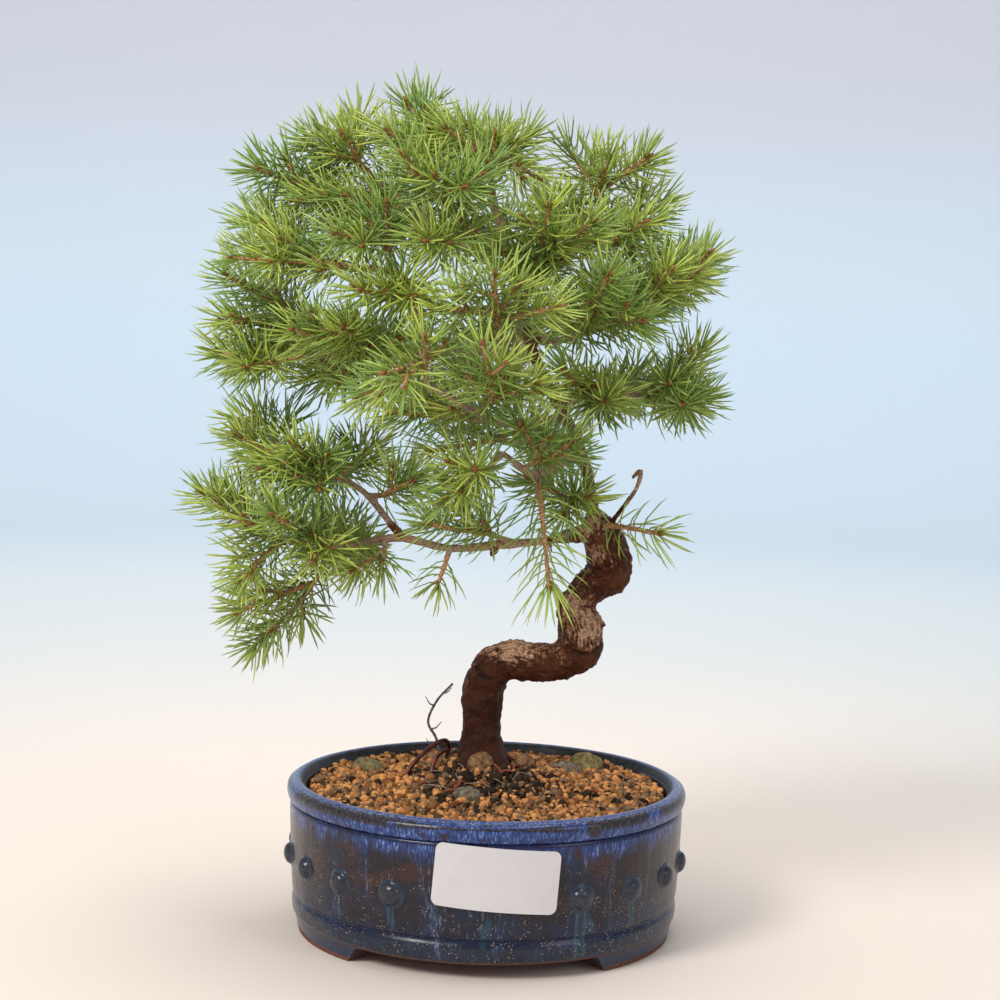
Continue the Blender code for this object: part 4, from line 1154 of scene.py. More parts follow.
def make_grains(s):
    """Loose grains: ochre and grey over the bed, peat lumps round the trunk."""
    rng = np.random.default_rng(21)
    big, small = lump_template(2), lump_template(1)
    kinds = {name: Gathered() for name in ("ochre", "grey", "peat")}
    for _ in range(s.grains):
        reach = (SOIL_REACH - 1.6) * math.sqrt(rng.random())
        turn = math.tau * rng.random()
        x, y = reach * math.sin(turn), -reach * math.cos(turn)
        edge = 1 + 0.35 * noise.noise((x / 12, y / 12, 0.0))
        from_peat = math.hypot(x - PEAT_CENTRE[0], y - PEAT_CENTRE[1]) / PEAT_REACH
        peat_chance = math.exp(-((from_peat * edge) ** 4))
        if rng.random() < DARK_CHANCE * peat_chance:
            kind = "peat" if rng.random() < PEAT_SHARE else "grey"
        else:
            place = np.searchsorted([OCHRE_SHARE, OCHRE_AND_GREY_SHARE], rng.random())
            kind = ("ochre", "grey", "peat")[place]
        half = min(s.grain_size / MM * rng.lognormal(-0.04, 0.26), LARGEST_GRAIN)
        if kind == "peat" and rng.random() < LUMP_SHARE:
            half *= LUMP_GROWTH
        points, faces = big if half > DETAILED_GRAIN else small
        stretch = np.array([1.0, rng.uniform(0.72, 1.0), rng.uniform(0.6, 0.92)])
        bumpy = points * (1 + rng.uniform(-0.24, 0.24, size=(len(points), 1)))
        lump = (bumpy * stretch * half) @ any_turn(rng).T
        on_trunk = math.hypot(x - TRUNK_FOOT[0], y - TRUNK_FOOT[1]) < BARE_ROUND_TRUNK
        if on_trunk or reach + half > SOIL_REACH + 0.4:
            continue
        z = float(soil_height(x, y)) + half * rng.uniform(0.1, 0.75)
        kinds[kind].add(lump + (x, y, z), faces, shade=rng.random())
    finishes = {
        "ochre": grain_finish("ochre_grains", s.ochre, 0.52, scaled(s.ochre, 1.55)),
        "grey": grain_finish("grey_grains", s.drab, 0.5, GREY_SPECKLE),
        "peat": grain_finish("peat_lumps", s.dark, 0.5, scaled(s.drab, 0.45)),
    }
    for kind, grains in kinds.items():
        placed(grains.built("grains_" + kind, [finishes[kind]], smooth=False), "grit", "soil")


# The dark and light tint of each kind of stone
STONE_TINTS = {
    "olive": ((0.14, 0.105, 0.045), (0.26, 0.22, 0.11)),
    "lichen": ((0.19, 0.135, 0.045), (0.42, 0.35, 0.16)),
    "grey": ((0.12, 0.085, 0.055), (0.30, 0.25, 0.18)),
    "brown": ((0.13, 0.058, 0.024), (0.36, 0.20, 0.090)),
}


def stone_finish(kind):
    """Rough, pitted stone of one kind's dark and light tint."""
    dark, light = STONE_TINTS[kind]
    f = Finish(f"stone_{kind}", specular_ior_level=0.3)
    place = f.place()
    rough = f.noise(place, 0.0022, 5.0, 0.65)
    fine = f.noise(place, 0.0005, 2.0)
    tint = f.mix(rough.step(0.36, 0.66), dark, light)
    tint = f.mix(fine.step(0.62, 0.74) * 0.6, tint, scaled(dark, 0.4))
    return f.finished(tint, 0.85, rough + 0.4 * fine, 0.0006)


# How far the middle of a stone lies above the soil
STONE_LIFT = 0.4


def make_stones():
    """Rough stones pressed into the soil."""
    points, faces = lump_template(5)
    for index, ((x, y), long, wide, turn, rise, kind) in enumerate(STONES):
        facets = np.round(points * 2.2 + noise_at(points, 0.9, index)[:, None]) / 2.2
        swell = 1 + 0.16 * noise_at(points, 0.7, index + 3.1)[:, None]
        form = unit(points * 0.62 + facets * 0.38) * swell
        form += points * 0.05 * noise_at(points, 0.22, index + 9.0)[:, None]
        form = form * (long, wide, rise * 1.15)
        a = math.radians(turn)
        across = form[:, 0] * math.cos(a) - form[:, 1] * math.sin(a)
        deep = form[:, 0] * math.sin(a) + form[:, 1] * math.cos(a)
        lifted = form[:, 2] + float(soil_height(x, y)) + STONE_LIFT
        stone = Gathered()
        stone.add(np.stack([across + x, deep + y, lifted], axis=1), faces)
        placed(stone.built(f"stone_{index + 1}", [stone_finish(kind)]), "grit", "soil")


# Bits on the peat: how many, the middle and spread of where they lie, their lengths and their tint
BITS = {
    "root_fibres": (12, (-4, -14), (9, 7), (6, 15), (0.40, 0.33, 0.22)),
    "twig_bits": (22, (0, -12), (26, 20), (4, 9), (0.30, 0.075, 0.028)),
}
BIT_STEPS = 8
# Half-widths of both, and the turn of a fibre and of a twig bit at each step
FIBRE_RADIUS = 0.17
TWIG_BIT_RADII = (0.4, 0.6)
FIBRE_TURN = 0.288
TWIG_BIT_TURN = 0.036
# How far bits lie above the soil's surface at their ends, and how much more at their middles
BIT_LIFT = 1.9
BIT_ARCH = 0.9


def make_bits():
    """Pale root fibres and reddish twig bits lying on the peat in front of the trunk."""
    rng = np.random.default_rng(8)
    for name, (number, middle, spread, lengths, tint) in BITS.items():
        f = Finish(name)
        shade = f.noise(f.place(), 0.0015, 3.0)
        material = f.finished(f.mix(shade, scaled(tint, 0.55), scaled(tint, 1.2)), 0.7, shade, 0.0002)
        fibre = name == "root_fibres"
        bits = Gathered()
        for _ in range(number):
            x, y = rng.normal(middle, spread)
            heading = rng.uniform(0, math.tau)
            step = rng.uniform(*lengths) / BIT_STEPS
            bend = rng.uniform(-FIBRE_TURN, FIBRE_TURN) if fibre else TWIG_BIT_TURN
            width = FIBRE_RADIUS if fibre else rng.uniform(*TWIG_BIT_RADII)
            rows = []
            for t in np.linspace(0, 1, BIT_STEPS + 1):
                lift = BIT_LIFT + BIT_ARCH * math.sin(t * math.pi) + rng.uniform(-0.1, 0.1)
                rows.append((x, y, float(soil_height(x, y)) + lift, width))
                heading += bend
                x += step * math.cos(heading)
                y += step * math.sin(heading)
            bits.add(*swept(np.array(rows), 6))
        placed(bits.built(name, [material]), "grit", "soil")


# Wood

BARK_TINTS = {
    "rust": (0.17, 0.050, 0.022),
    "lower_trunk_dark": (0.050, 0.014, 0.008),
    "grey_twig": (0.26, 0.155, 0.110),
    "pale_twig": (0.60, 0.42, 0.31),
    "dry_tip": (0.62, 0.44, 0.34),
}
# Scales are drawn out along the wood and rings round it, where their patterns shrink to these shares
SCALE_STRETCH = 0.30
RING_STRETCH = 0.22


def bark_finish(s):
    """Red-brown bark with pale worn scales, a painted highlight where it faces up, and black cracks;
    smoother and lighter on young wood.
    """
    f = Finish("bark", specular_ior_level=0.15)
    place = f.place()
    crack = f.painted("crack")
    lift = f.painted("lift")
    young = f.painted("young")
    sky = f.painted("sky")
    far = f.painted("far")
    round_x = f.painted("round_x")
    round_y = f.painted("round_y")
    height = f.axes(place)[2] * PER_METRE
    skin = f.vector(round_x * MM, round_y * MM, far * (SCALE_STRETCH * MM))
    rings = f.vector(round_x * (RING_STRETCH * MM), round_y * (RING_STRETCH * MM), far * MM)
    broad = f.noise(place, 0.012, 3.0)
    flecks = f.noise(skin, 0.0011, 4.0, 0.65)
    fine = f.noise(place, 0.0007, 3.0, 0.6)
    creases = f.noise(rings, 0.0010, 4.0, 0.6)
    tint = f.mix(broad.step(0.35, 0.65), scaled(s.bark, 0.60), scaled(s.bark, 1.30))
    tint = f.mix(flecks.step(0.52, 0.70) * 0.55, tint, scaled(s.bark, 2.4))
    tint = f.mix(flecks.step(0.46, 0.32) * 0.65, tint, scaled(s.crack, 1.4))
    # Lower on the trunk the pale mix fades out
    above = height.step(88.0, 112.0)
    pale = f.painted("pale")
    rough = flecks.step(0.36, 0.64) * 0.48 + creases.step(0.36, 0.62) * 0.32
    # The pale mix follows raised scales, rough flecks, broad patches and the pale places, and carries a
    # painted highlight: lighter where the bark faces up, darker where it faces down
    worn = (lift * 0.30 + sky * 0.36 + rough + broad * 0.25 + pale * 0.74).step(0.84, 1.44)
    worn = worn * (0.12 + 0.88 * above)
    scales = f.mix(fine.step(0.34, 0.66), scaled(s.crest, 0.50), scaled(s.crest, 1.30))
    tint = f.mix(worn * (0.60 + 0.38 * flecks.step(0.38, 0.54)), tint, scales)
    pits = f.noise(place, 0.0016, 4.0, 0.7)
    tint = f.mix(pits.step(0.44, 0.34) * (1 - worn) * (1 - young) * 0.7, tint, scaled(s.crack, 1.2))
    tint = f.mix(f.noise(place, 0.005, 2.0).step(0.52, 0.68) * 0.35, tint, BARK_TINTS["rust"])
    # The trunk is darker towards its foot
    tint = f.mix(height.step(126.0, 94.0) * 0.76, tint, BARK_TINTS["lower_trunk_dark"])
    grain = fine.step(0.3, 0.7)
    twig = f.mix(grain, scaled(s.shoot, 0.32), scaled(s.shoot, 0.70))
    weathered = f.mix(grain, BARK_TINTS["grey_twig"], BARK_TINTS["pale_twig"])
    tint = f.mix(young, tint, f.mix(broad.step(0.40, 0.56) * 0.75, twig, weathered))
    dry = (pale * young * fine.step(0.36, 0.60)).least(1.0)
    tint = f.mix(dry * 0.8, tint, BARK_TINTS["dry_tip"])
    dark = crack.step(0.50, 0.08)
    tint = f.mix(dark * 0.85, tint, tuple(s.crack))
    tint = f.mix(creases.step(0.40, 0.30) * (1 - young) * 0.6, tint, tuple(s.crack))
    relief = flecks * 0.8 + fine * 0.35 + creases * 0.9
    return f.finished(tint, 0.34 + 0.30 * fine, relief + pits * 0.9, 0.0009)


def nearest_on(route, points, batch=4000):
    """For each point, the index of the nearest row of a route."""
    found = []
    for start in range(0, len(points), batch):
        part = points[start : start + batch]
        gap = ((part[:, None] - route[None, :, :3]) ** 2).sum(axis=2)
        found.append(gap.argmin(axis=1))
    return np.concatenate(found)


# The radius from which wood has the bark's full relief, and the least share of it on thin wood
FULL_RELIEF_RADIUS = 9.0
LEAST_RELIEF = 0.15
# Forms of the bark, and where along the trunk a spiral scar starts and ends
LUMP_HEIGHT = 0.95
KNUCKLE_HEIGHT = 0.80
FLAKE_SIZE = 1.9
FLAKE_DEPTH = 0.32
CREASE_SPACING = 2.1
CREASE_DEPTH = 0.24
SCAR_PITCH = 17.0
SCAR_START = 66
SCAR_END = 150
SCAR_DEPTH = 0.45
SPLIT_DEPTH = 1.3
KNOT_RIM = 1.1
KNOT_DEPTH = 0.8


def bark_relief(points, trunk, strength):
    """How far each point of the trunk is pushed out, and what is painted there."""
    near = nearest_on(trunk, points)
    far = distances(trunk)[near]
    ahead, side, other = frames_along(trunk)
    arm = points - trunk[near, :3]
    turn = np.arctan2((arm * other[near]).sum(1), (arm * side[near]).sum(1))
    size = np.clip(trunk[near, 3] / FULL_RELIEF_RADIUS, LEAST_RELIEF, 1.0)
    curl = np.linalg.norm(np.gradient(unit(ahead), axis=0), axis=1)
    bent = np.clip(np.convolve(curl, np.ones(9) / 9, "same")[near] / 0.05, 0, 1)
    wander = np.stack([noise_at(points, 4.0, seed) for seed in (11.0, 17.0, 23.0)], axis=1)
    push = LUMP_HEIGHT * noise_at(points, 8.0) + KNUCKLE_HEIGHT * noise_at(points, 3.6, 3.0)
    flake = np.clip(cells_at(points + wander * 0.9, FLAKE_SIZE, 4.0) / 0.22, 0, 1)
    patchy = np.clip(noise_at(points, 6.0, 41.0) * 2.0 + 0.5, 0, 1)
    push += FLAKE_DEPTH * (flake - 1) * patchy + 0.26 * noise_at(points, 1.3, 5.0)
    wrinkle = np.sin(far * math.tau / CREASE_SPACING + 2.8 * wander[:, 0] + 0.5 * np.sin(turn * 2))
    creased = bent * np.clip(noise_at(points, 8.0, 31.0) * 2.0 + 0.6, 0, 1)
    push += CREASE_DEPTH * wrinkle * creased
    crack = 1 - 0.75 * creased * np.clip(-wrinkle - 0.25, 0, 1) - 0.25 * (1 - flake) * patchy
    spiral = (far / SCAR_PITCH + turn / math.tau) % 1.0
    scarred = (far > SCAR_START) & (far < SCAR_END)
    scar = np.exp(-(((spiral - 0.5) / 0.06) ** 2)) * scarred * patchy
    push -= SCAR_DEPTH * scar
    crack = np.minimum(crack, 1 - 0.55 * scar)
    for place, radius in SPLITS:
        gap = np.abs(far - place + 2.2 * wander[:, 1] + 1.4 * np.sin(turn)) / radius
        split = np.exp(-(gap**2)) * np.clip(1.4 * noise_at(points, 6.0, place) + 0.5, 0, 1)
        push -= SPLIT_DEPTH * split
        crack = np.minimum(crack, 1 - split)
    for middle, radius in KNOTS:
        gap = np.linalg.norm(points - middle, axis=1) / radius
        push += KNOT_RIM * np.exp(-((gap - 1.0) ** 2) * 5) - KNOT_DEPTH * np.exp(-((gap * 2.0) ** 2))
        crack = np.minimum(crack, np.clip(np.abs(gap - 0.62) / 0.16, 0.1, 1))
    pale = np.zeros(len(points))
    for middle, radius in PALE_PLACES:
        pale += np.exp(-((np.linalg.norm(points - middle, axis=1) / radius) ** 2))
    paint = {"crack": crack, "lift": np.clip(0.5 + push * 0.5, 0, 1), "far": far, "pale": pale}
    paint["round_x"] = trunk[near, 3] * np.cos(turn)
    paint["round_y"] = trunk[near, 3] * np.sin(turn)
    return push * size * strength, paint


def limb_rows(limb, spacing=1.4):
    return resampled(smooth_route(limb, 8), spacing)


# Beads of dead bark along the snag: their radius, their spacing and the row at which they start
BEAD_RADIUS = 1.35
BEAD_SPACING = 2.1
FIRST_BEAD = 5
# How much of a limb is made with the trunk: more of one whose root is thicker than this radius
THICK_LIMB = 4
LONG_COLLAR = 34.0
SHORT_COLLAR = 9.0
# How much wider a limb is at its root, and the length over which that fades
COLLAR_FLARE = 0.55
COLLAR_FADE = 4.0
# The radii of a spray's peg at the limb's axis, inside the bark and at its end
PEG_RADII = (1.55, 1.15, 1.0)


def rough_wood(trunk, grain):
    """One closed mesh round the trunk, its roots, stubs and snag, and the collars of its limbs."""
    rough = Gathered()
    rough.add(*swept(trunk, 28))
    for root in ROOTS:
        rough.add(*swept(limb_rows(root, 2.0), 16))
    rough.add(*swept(limb_rows(SNAG, 1.2), 10))
    beads, bead_faces = lump_template(2)
    for row in limb_rows(SNAG, BEAD_SPACING)[FIRST_BEAD:]:
        rough.add(beads * BEAD_RADIUS + row[:3], bead_faces)
    for stub in STUBS:
        rough.add(*swept(limb_rows(stub, 0.8), 10))
    for limb in LIMBS.values():
        rows = limb_rows(limb)
        collar = rows[distances(rows) < (LONG_COLLAR if limb[0][3] > THICK_LIMB else SHORT_COLLAR)].copy()
        collar[:, 3] *= 1 + COLLAR_FLARE * np.exp(-distances(collar) / COLLAR_FADE)
        rough.add(*swept(collar, 14))
    made = rough.built("wood_rough", move=False)
    even = made.modifiers.new("even", "REMESH")
    even.mode, even.voxel_size = "VOXEL", grain
    soft = made.modifiers.new("soft", "SMOOTH")
    soft.factor, soft.iterations = 0.5, 6
    return applied(made)


def mesh_arrays(mesh):
    """(points and normals in millimetres, quads) of a mesh of quads."""
    points = np.empty(len(mesh.vertices) * 3)
    normals = np.empty(len(mesh.vertices) * 3)
    corners = np.empty(len(mesh.loops), int)
    mesh.vertices.foreach_get("co", points)
    mesh.vertex_normals.foreach_get("vector", normals)
    mesh.loops.foreach_get("vertex_index", corners)
    return points.reshape(-1, 3) / MM, normals.reshape(-1, 3), corners.reshape(-1, 4)


def make_wood(s):
    """The living wood as one piece: scaly trunk, roots, leader, limbs, snag and the sprays' pegs."""
    trunk = resampled(smooth_route(TRUNK, 10), 1.0)
    rough = rough_wood(trunk, s.grain)
    points, normals, quads = mesh_arrays(rough.data)
    bpy.data.objects.remove(rough)
    push, paint = bark_relief(points, trunk, s.relief)
    wood = Gathered()
    thick = trunk[nearest_on(trunk, points), 3]
    young = np.clip((4.2 - thick) / 2.6, 0, 1) * 0.7
    # How far each point faces up is painted on, as a highlight on the top of the bark
    wood.add(points + normals * push[:, None], quads, young=young, sky=normals[:, 2], **paint)
    for limb in LIMBS.values():
        add_branch(wood, limb_rows(limb, 0.9), 10)
    for name in SPRAYS:
        start = peg_start(name)
        end = point_along(twig_routes(name)[0], PEG_LENGTH + 1.5)
        peg = np.column_stack([[start, start * 0.4 + end * 0.6, end], PEG_RADII])
        add_branch(wood, resampled(peg, 0.8), 8)
    placed(wood.built("living_wood", [bark_finish(s)]), "bark", "trunk")


# Branches look fully young a millimetre below this radius
YOUNG_RADIUS = 2.3


def add_branch(wood, rows, sides):
    """A branch with scaly swellings along it."""
    far = distances(rows)
    turn = np.linspace(0, math.tau, sides, endpoint=False)
    spots = np.broadcast_arrays(far[:, None] + rows[0, 0], 3 * np.cos(turn), 3 * np.sin(turn))
    spots = np.stack(spots, axis=-1).reshape(-1, 3)
    bumps = noise_at(spots, 1.5, rows[0, 2])
    slow = noise_at(spots, 6.0, rows[0, 1])
    swell = (1 + 0.16 * bumps + 0.14 * slow).reshape(len(far), sides)
    points, faces = swept(rows, sides, swell)
    paint = {
        "crack": np.clip(0.75 + 0.8 * bumps, 0, 1),
        "lift": np.clip(0.5 + bumps, 0, 1),
        "young": np.repeat(np.clip(YOUNG_RADIUS - rows[:, 3], 0.25, 1), sides),
        "far": np.repeat(far, sides),
        "round_x": np.outer(rows[:, 3], np.cos(turn)).ravel(),
        "round_y": np.outer(rows[:, 3], np.sin(turn)).ravel(),
    }
    # Branches carry half of the painted top highlight all over
    wood.add(points, faces, sky=0.5, pale=1.1, **paint)


@functools.cache
def limb_axes():
    """Points along the axes of every limb and of the trunk's neck and leader."""
    routes = [*LIMBS.values(), TRUNK[NECK_ROW:]]
    return np.concatenate([limb_rows(route, 0.5) for route in routes])[:, :3]


def peg_start(name):
    """The point on a limb's axis from which a spray grows."""
    given = np.array(SPRAYS[name][0][0], float)
    return limb_axes()[((limb_axes() - given) ** 2).sum(1).argmin()]


# Sprays

def point_along(route, distance):
    return between(route, distances(route), distance)


def twig_routes(name):
    """The routes of a spray's twigs, the leading one first, each from its root to its bud."""
    lead, forks = SPRAYS[name]
    bent = smooth_route(lead, 4)
    span = np.linalg.norm(bent[-1] - bent[0])
    bent[:, 2] -= BOW * span * np.sin(math.pi * np.arange(len(bent)) / (len(bent) - 1))
    main = np.array([bent[0], point_along(bent, distances(bent)[-1] / 2), bent[-1]])
    far = distances(main)[-1]
    roots = [point_along(main, far * (FORK_START + FORK_STEP * i)) for i in range(len(forks))]
    return [main, *(np.array([root, tip], float) for root, tip in zip(roots, forks))]


def inside_box(points):
    """Which points, in millimetres from the pot's middle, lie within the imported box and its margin."""
    low, high = (np.array(corner) / MM - POT_MIDDLE for corner in CAD_BOX)
    margin = (high - low) * BOX_MARGIN
    return ((points > low - margin) & (points < high + margin)).all(axis=-1)


NEEDLE_TINTS = {
    "straw_root": (0.20, 0.17, 0.045),
    "yellow_tip": (0.46, 0.42, 0.14),
    "cool_green": (0.13, 0.29, 0.060),
}


def needle_finish(s):
    """Glossy green needles: yellow-green when young, with yellow tips and straw-coloured roots."""
    f = Finish("needles", specular_ior_level=0.70)
    shade = f.painted("shade")
    youth = f.painted("youth")
    along = f.painted("along")
    tint = f.mix(youth, tuple(s.old), tuple(s.young))
    tint = f.mix(shade.step(0.55, 1.0) * 0.55, tint, scaled(s.young, 1.25))
    tint = f.mix(shade.step(0.35, 0.0) * 0.6, tint, scaled(s.old, 0.8))
    tint = f.mix(along.step(0.22, 0.0) * 0.45, tint, NEEDLE_TINTS["straw_root"])
    tint = f.mix(along.step(0.90, 1.0) * 0.35, tint, NEEDLE_TINTS["yellow_tip"])
    cool = f.noise(f.place(), 0.034, 1.0).step(0.46, 0.60) * along.step(0.0, 0.3)
    tint = f.mix(cool * 0.55, tint, NEEDLE_TINTS["cool_green"])
    streak = f.noise(f.place(), 0.0022, 2.0)
    return f.finished(tint, 0.24 + 0.22 * streak, streak, 0.00008)


def twig_finish(s):
    """Orange-brown bark of young shoots, rough with the pegs of the needles."""
    f = Finish("twig_bark")
    place = f.place()
    fine = f.noise(place, 0.0009, 3.0)
    scales = f.cells(place, 0.0011)
    tint = f.mix(fine.step(0.3, 0.7), scaled(s.shoot, 0.55), scaled(s.shoot, 1.2))
    tint = f.mix(scales.step(0.30, 0.62) * 0.5, tint, scaled(s.shoot, 0.35))
    return f.finished(tint, 0.7, fine + scales, 0.0004)


def bud_finish(s):
    """Red-brown bud scales with paler edges."""
    f = Finish("buds")
    along = f.painted("along")
    shade = f.painted("shade")
    scales = f.cells(f.place(), 0.0009)
    tint = f.mix(shade, scaled(s.bud, 0.7), scaled(s.bud, 1.35))
    tint = f.mix((scales.step(0.42, 0.6) + along * 0.2).least(1.0) * 0.5, tint, scaled(s.bud, 2.2))
    return f.finished(tint, 0.45 + 0.2 * scales, scales, 0.0003)


# A needle's rings: their share of its length and of its width, and the corners of its section
NEEDLE_STATIONS = np.array([0.0, 0.30, 0.82])
NEEDLE_WIDTHS = np.array([0.62, 1.0, 0.90])
SECTION = np.array([(1, -0.4), (0, 0.9), (-1, -0.4)])
NEEDLE_POINTS = 10
# How far a needle bends forward along its twig, as a share of its length
NEEDLE_BEND = 0.46
# Angles between a needle and its twig: at the root, less towards the tip, and in the end's rosette
ROOT_LEAN = 84
TIP_LEAN_LOSS = 21
LEAN_SPREAD = 8
ROSETTE_LEANS = (26, 72)
ROSETTE_REACH = 4.0
# How unevenly needles turn round the twig and bend, and how much they rise at their ends
TURN_SPREAD = 0.12
BEND_SPREAD = 0.07
NEEDLE_RISE = 0.05
# Needles' sizes against the usual, and what is lost at the tip and left in the rosette
LENGTH_RANGE = (0.78, 1.06)
WIDTH_RANGE = (0.86, 1.08)
TIP_LENGTH_LOSS = 0.16
ROSETTE_LENGTH = 0.86
# How young needles look at the twig's root, how much more so at its tip, and how unevenly
ROOT_YOUTH = 0.30
YOUTH_GAIN = 0.62
YOUTH_SPREAD = 0.10


def needle_faces(count):
    """The faces of needles that have ten points each: three rings of three and a tip."""
    quads = grid_quads(3, 3)
    ends = np.array([[6 + c, 6 + (c + 1) % 3, 9] for c in range(3)] + [[2, 1, 0]])
    starts = NEEDLE_POINTS * np.arange(count)[:, None, None]
    return [(starts + quads).reshape(-1, 4), (starts + ends).reshape(-1, 3)]


def needle_points(root, ahead, outward, lean, size, width, droop):
    """Points of curved, tapering, three-sided needles, from arrays with a row for each."""
    direction = np.cos(lean)[:, None] * ahead + np.sin(lean)[:, None] * outward
    side = unit(np.cross(direction, ahead))
    face = np.cross(side, direction)
    t = NEEDLE_STATIONS[None, :, None]
    bend = (ahead * NEEDLE_BEND + droop) * size[:, None]
    centre = root[:, None] + direction[:, None] * size[:, None, None] * t + bend[:, None] * t**2
    half = (width[:, None] / 2 * NEEDLE_WIDTHS)[:, :, None, None]
    wide, high = SECTION[None, None, :, :1], SECTION[None, None, :, 1:]
    across = wide * side[:, None, None] + high * face[:, None, None]
    rings = centre[:, :, None] + across * half
    tip = root + direction * size[:, None] + bend
    return np.concatenate([rings.reshape(len(root), NEEDLE_POINTS - 1, 3), tip[:, None]], axis=1)


# Materials of a spray, in the order of its slots
NEEDLE_SLOT, TWIG_SLOT, BUD_SLOT = 0, 1, 2
# How far from the twig's axis a needle starts
NEEDLE_ROOT_OFFSET = 0.45
# A twig's rows: how far apart, how many corners each has, and how uneven their radii are
TWIG_STEP = 0.9
TWIG_SIDES = 6
TWIG_UNEVENNESS = 0.16
# On a thinned-out twig, the share of needles kept at the root and what it gains towards the tip
KEPT_AT_ROOT = 0.62
KEPT_GAIN = 0.9
# A bud's rings, as shares of its length, with their radii; and the two side buds' places round a twig
BUD_STATIONS = np.array([0.0, 0.12, 0.32, 0.5, 0.7, 0.88, 1.0])
BUD_RADII = 0.92 * np.array([0.55, 0.95, 1.15, 1.02, 0.78, 0.42, 0.05])
BUD_LENGTH = 3.3
BUD_LENGTH_RANGE = (0.85, 1.15)
BUD_SIDES = 7
SIDE_BUD_TURNS = np.array([0.0, 2.4])
# Kinds of twig: radii at root and tip, how far apart the needles are, whether they are thinned out
# near the root, how many stand in the rosette, their added lean, sag and youth, and the buds' sizes
TwigKind = namedtuple(
    "TwigKind", "root_radius tip_radius spacing thinned rosette lean sag youth bud side_bud"
)
TWIG_KINDS = {
    "twig": TwigKind(1.30, 0.84, 1.0, True, 10, 0, 0.0, 0.0, 1.0, 0.66),
    "shoot": TwigKind(0.85, 0.66, 1.0, False, 8, 0, 0.0, 0.12, 0.8, 0.0),
    "hanging": TwigKind(1.30, 0.84, 1.4, False, 10, 4, 0.16, 0.35, 1.0, 0.66),
}


def needle_places(rng, kind, spacing, bare, total):
    """Distances along a twig at which needles grow, the rosette at its end last."""
    body = np.arange(bare, total - 1.0, spacing * kind.spacing)
    if kind.thinned:
        body = body[rng.random(len(body)) < KEPT_AT_ROOT + KEPT_GAIN * body / total]
    return np.concatenate([body, total - ROSETTE_REACH * rng.random(kind.rosette) ** 1.4])


def dress_twig(spray, rng, route, s, bare, kind, stretch=1.0):
    """Adds a twig's wood, needles and buds to a spray."""
    rows = resampled(smooth_route(route, 6), TWIG_STEP)
    place = distances(rows)
    total = place[-1]
    uneven = 1 + TWIG_UNEVENNESS * rng.uniform(-1, 1, len(rows))
    radius = np.linspace(kind.root_radius, kind.tip_radius, len(rows)) * uneven
    points, faces = swept(np.column_stack([rows, radius]), TWIG_SIDES)
    spray.add(points, faces, TWIG_SLOT, shade=rng.random(), along=0.5, youth=0.5)

    far = needle_places(rng, kind, s.spacing / MM, bare, total)
    count, share = len(far), far / total
    frames = frames_along(rows)
    root = between(rows, place, far)
    ahead, side, other = (unit(between(vectors, place, far)) for vectors in frames)
    turn = np.arange(count) * GOLDEN_TURN + rng.uniform(0, math.tau) + rng.normal(0, TURN_SPREAD, count)
    outward = np.cos(turn)[:, None] * side + np.sin(turn)[:, None] * other
    lean = np.radians(ROOT_LEAN - TIP_LEAN_LOSS * share**2.2 + rng.normal(0, LEAN_SPREAD, count))
    lean[-kind.rosette :] = np.radians(rng.uniform(*ROSETTE_LEANS, kind.rosette))
    lean += np.radians(kind.lean)
    size = s.needle_length / MM * rng.uniform(*LENGTH_RANGE, count)
    size = size * (1 - TIP_LENGTH_LOSS * share**3) * stretch
    size[-kind.rosette :] *= ROSETTE_LENGTH
    droop = rng.normal(0, BEND_SPREAD, (count, 3)) + (0, 0, NEEDLE_RISE - kind.sag)
    width = s.needle_width / MM * rng.uniform(*WIDTH_RANGE, count)
    shade = rng.random(count)
    youth = ROOT_YOUTH + YOUTH_GAIN * share + kind.youth + rng.normal(0, YOUTH_SPREAD, count)
    youth = np.clip(youth, 0, 1)
    points = needle_points(root + outward * NEEDLE_ROOT_OFFSET, ahead, outward, lean, size, width, droop)
    kept = inside_box(points).all(axis=1)
    paint = {
        "shade": np.repeat(shade[kept], NEEDLE_POINTS),
        "youth": np.repeat(youth[kept], NEEDLE_POINTS),
        "along": np.tile([*np.repeat(NEEDLE_STATIONS, 3), 1.0], kept.sum()),
    }
    spray.add(points[kept], needle_faces(kept.sum()), NEEDLE_SLOT, **paint)

    forward = unit(rows[-1] - rows[-2])
    add_bud(spray, rng, rows[-1], forward, kind.bud)
    if kind.side_bud:
        for turn in rng.uniform(0, math.tau) + SIDE_BUD_TURNS:
            outward = math.cos(turn) * frames[1][-1] + math.sin(turn) * frames[2][-1]
            add_bud(spray, rng, rows[-2], unit(rows[-1] - rows[-2] + outward * 0.9), kind.side_bud)


def add_bud(spray, rng, root, direction, size):
    """A pointed bud of overlapping scales."""
    reach = BUD_LENGTH * size * rng.uniform(*BUD_LENGTH_RANGE)
    rows = np.column_stack([root + direction * (BUD_STATIONS * reach)[:, None], BUD_RADII * size])
    points, faces = swept(rows, BUD_SIDES)
    along = np.repeat(BUD_STATIONS, BUD_SIDES)
    spray.add(points, faces, BUD_SLOT, shade=rng.random(), along=along, youth=0.5)


# Side shoots: the share of a twig below the first and its spread, the length above the last, and
# the ranges of their lengths, of the gaps between them and of their angles to the twig
FIRST_SHOOT = 0.30
FIRST_SHOOT_SPREAD = 4
BARE_TIP = 9
SHOOT_LENGTHS = (10, 17)
SHOOT_GAPS = (7.5, 11.5)
SHOOT_ANGLES = (42, 58)
# How unevenly side shoots roll round the twig, how much they point up, and how they shorten
SHOOT_ROLL = 0.5
SHOOT_RISE = 0.15
SHOOT_SHORTENING = (1.1, 0.35)


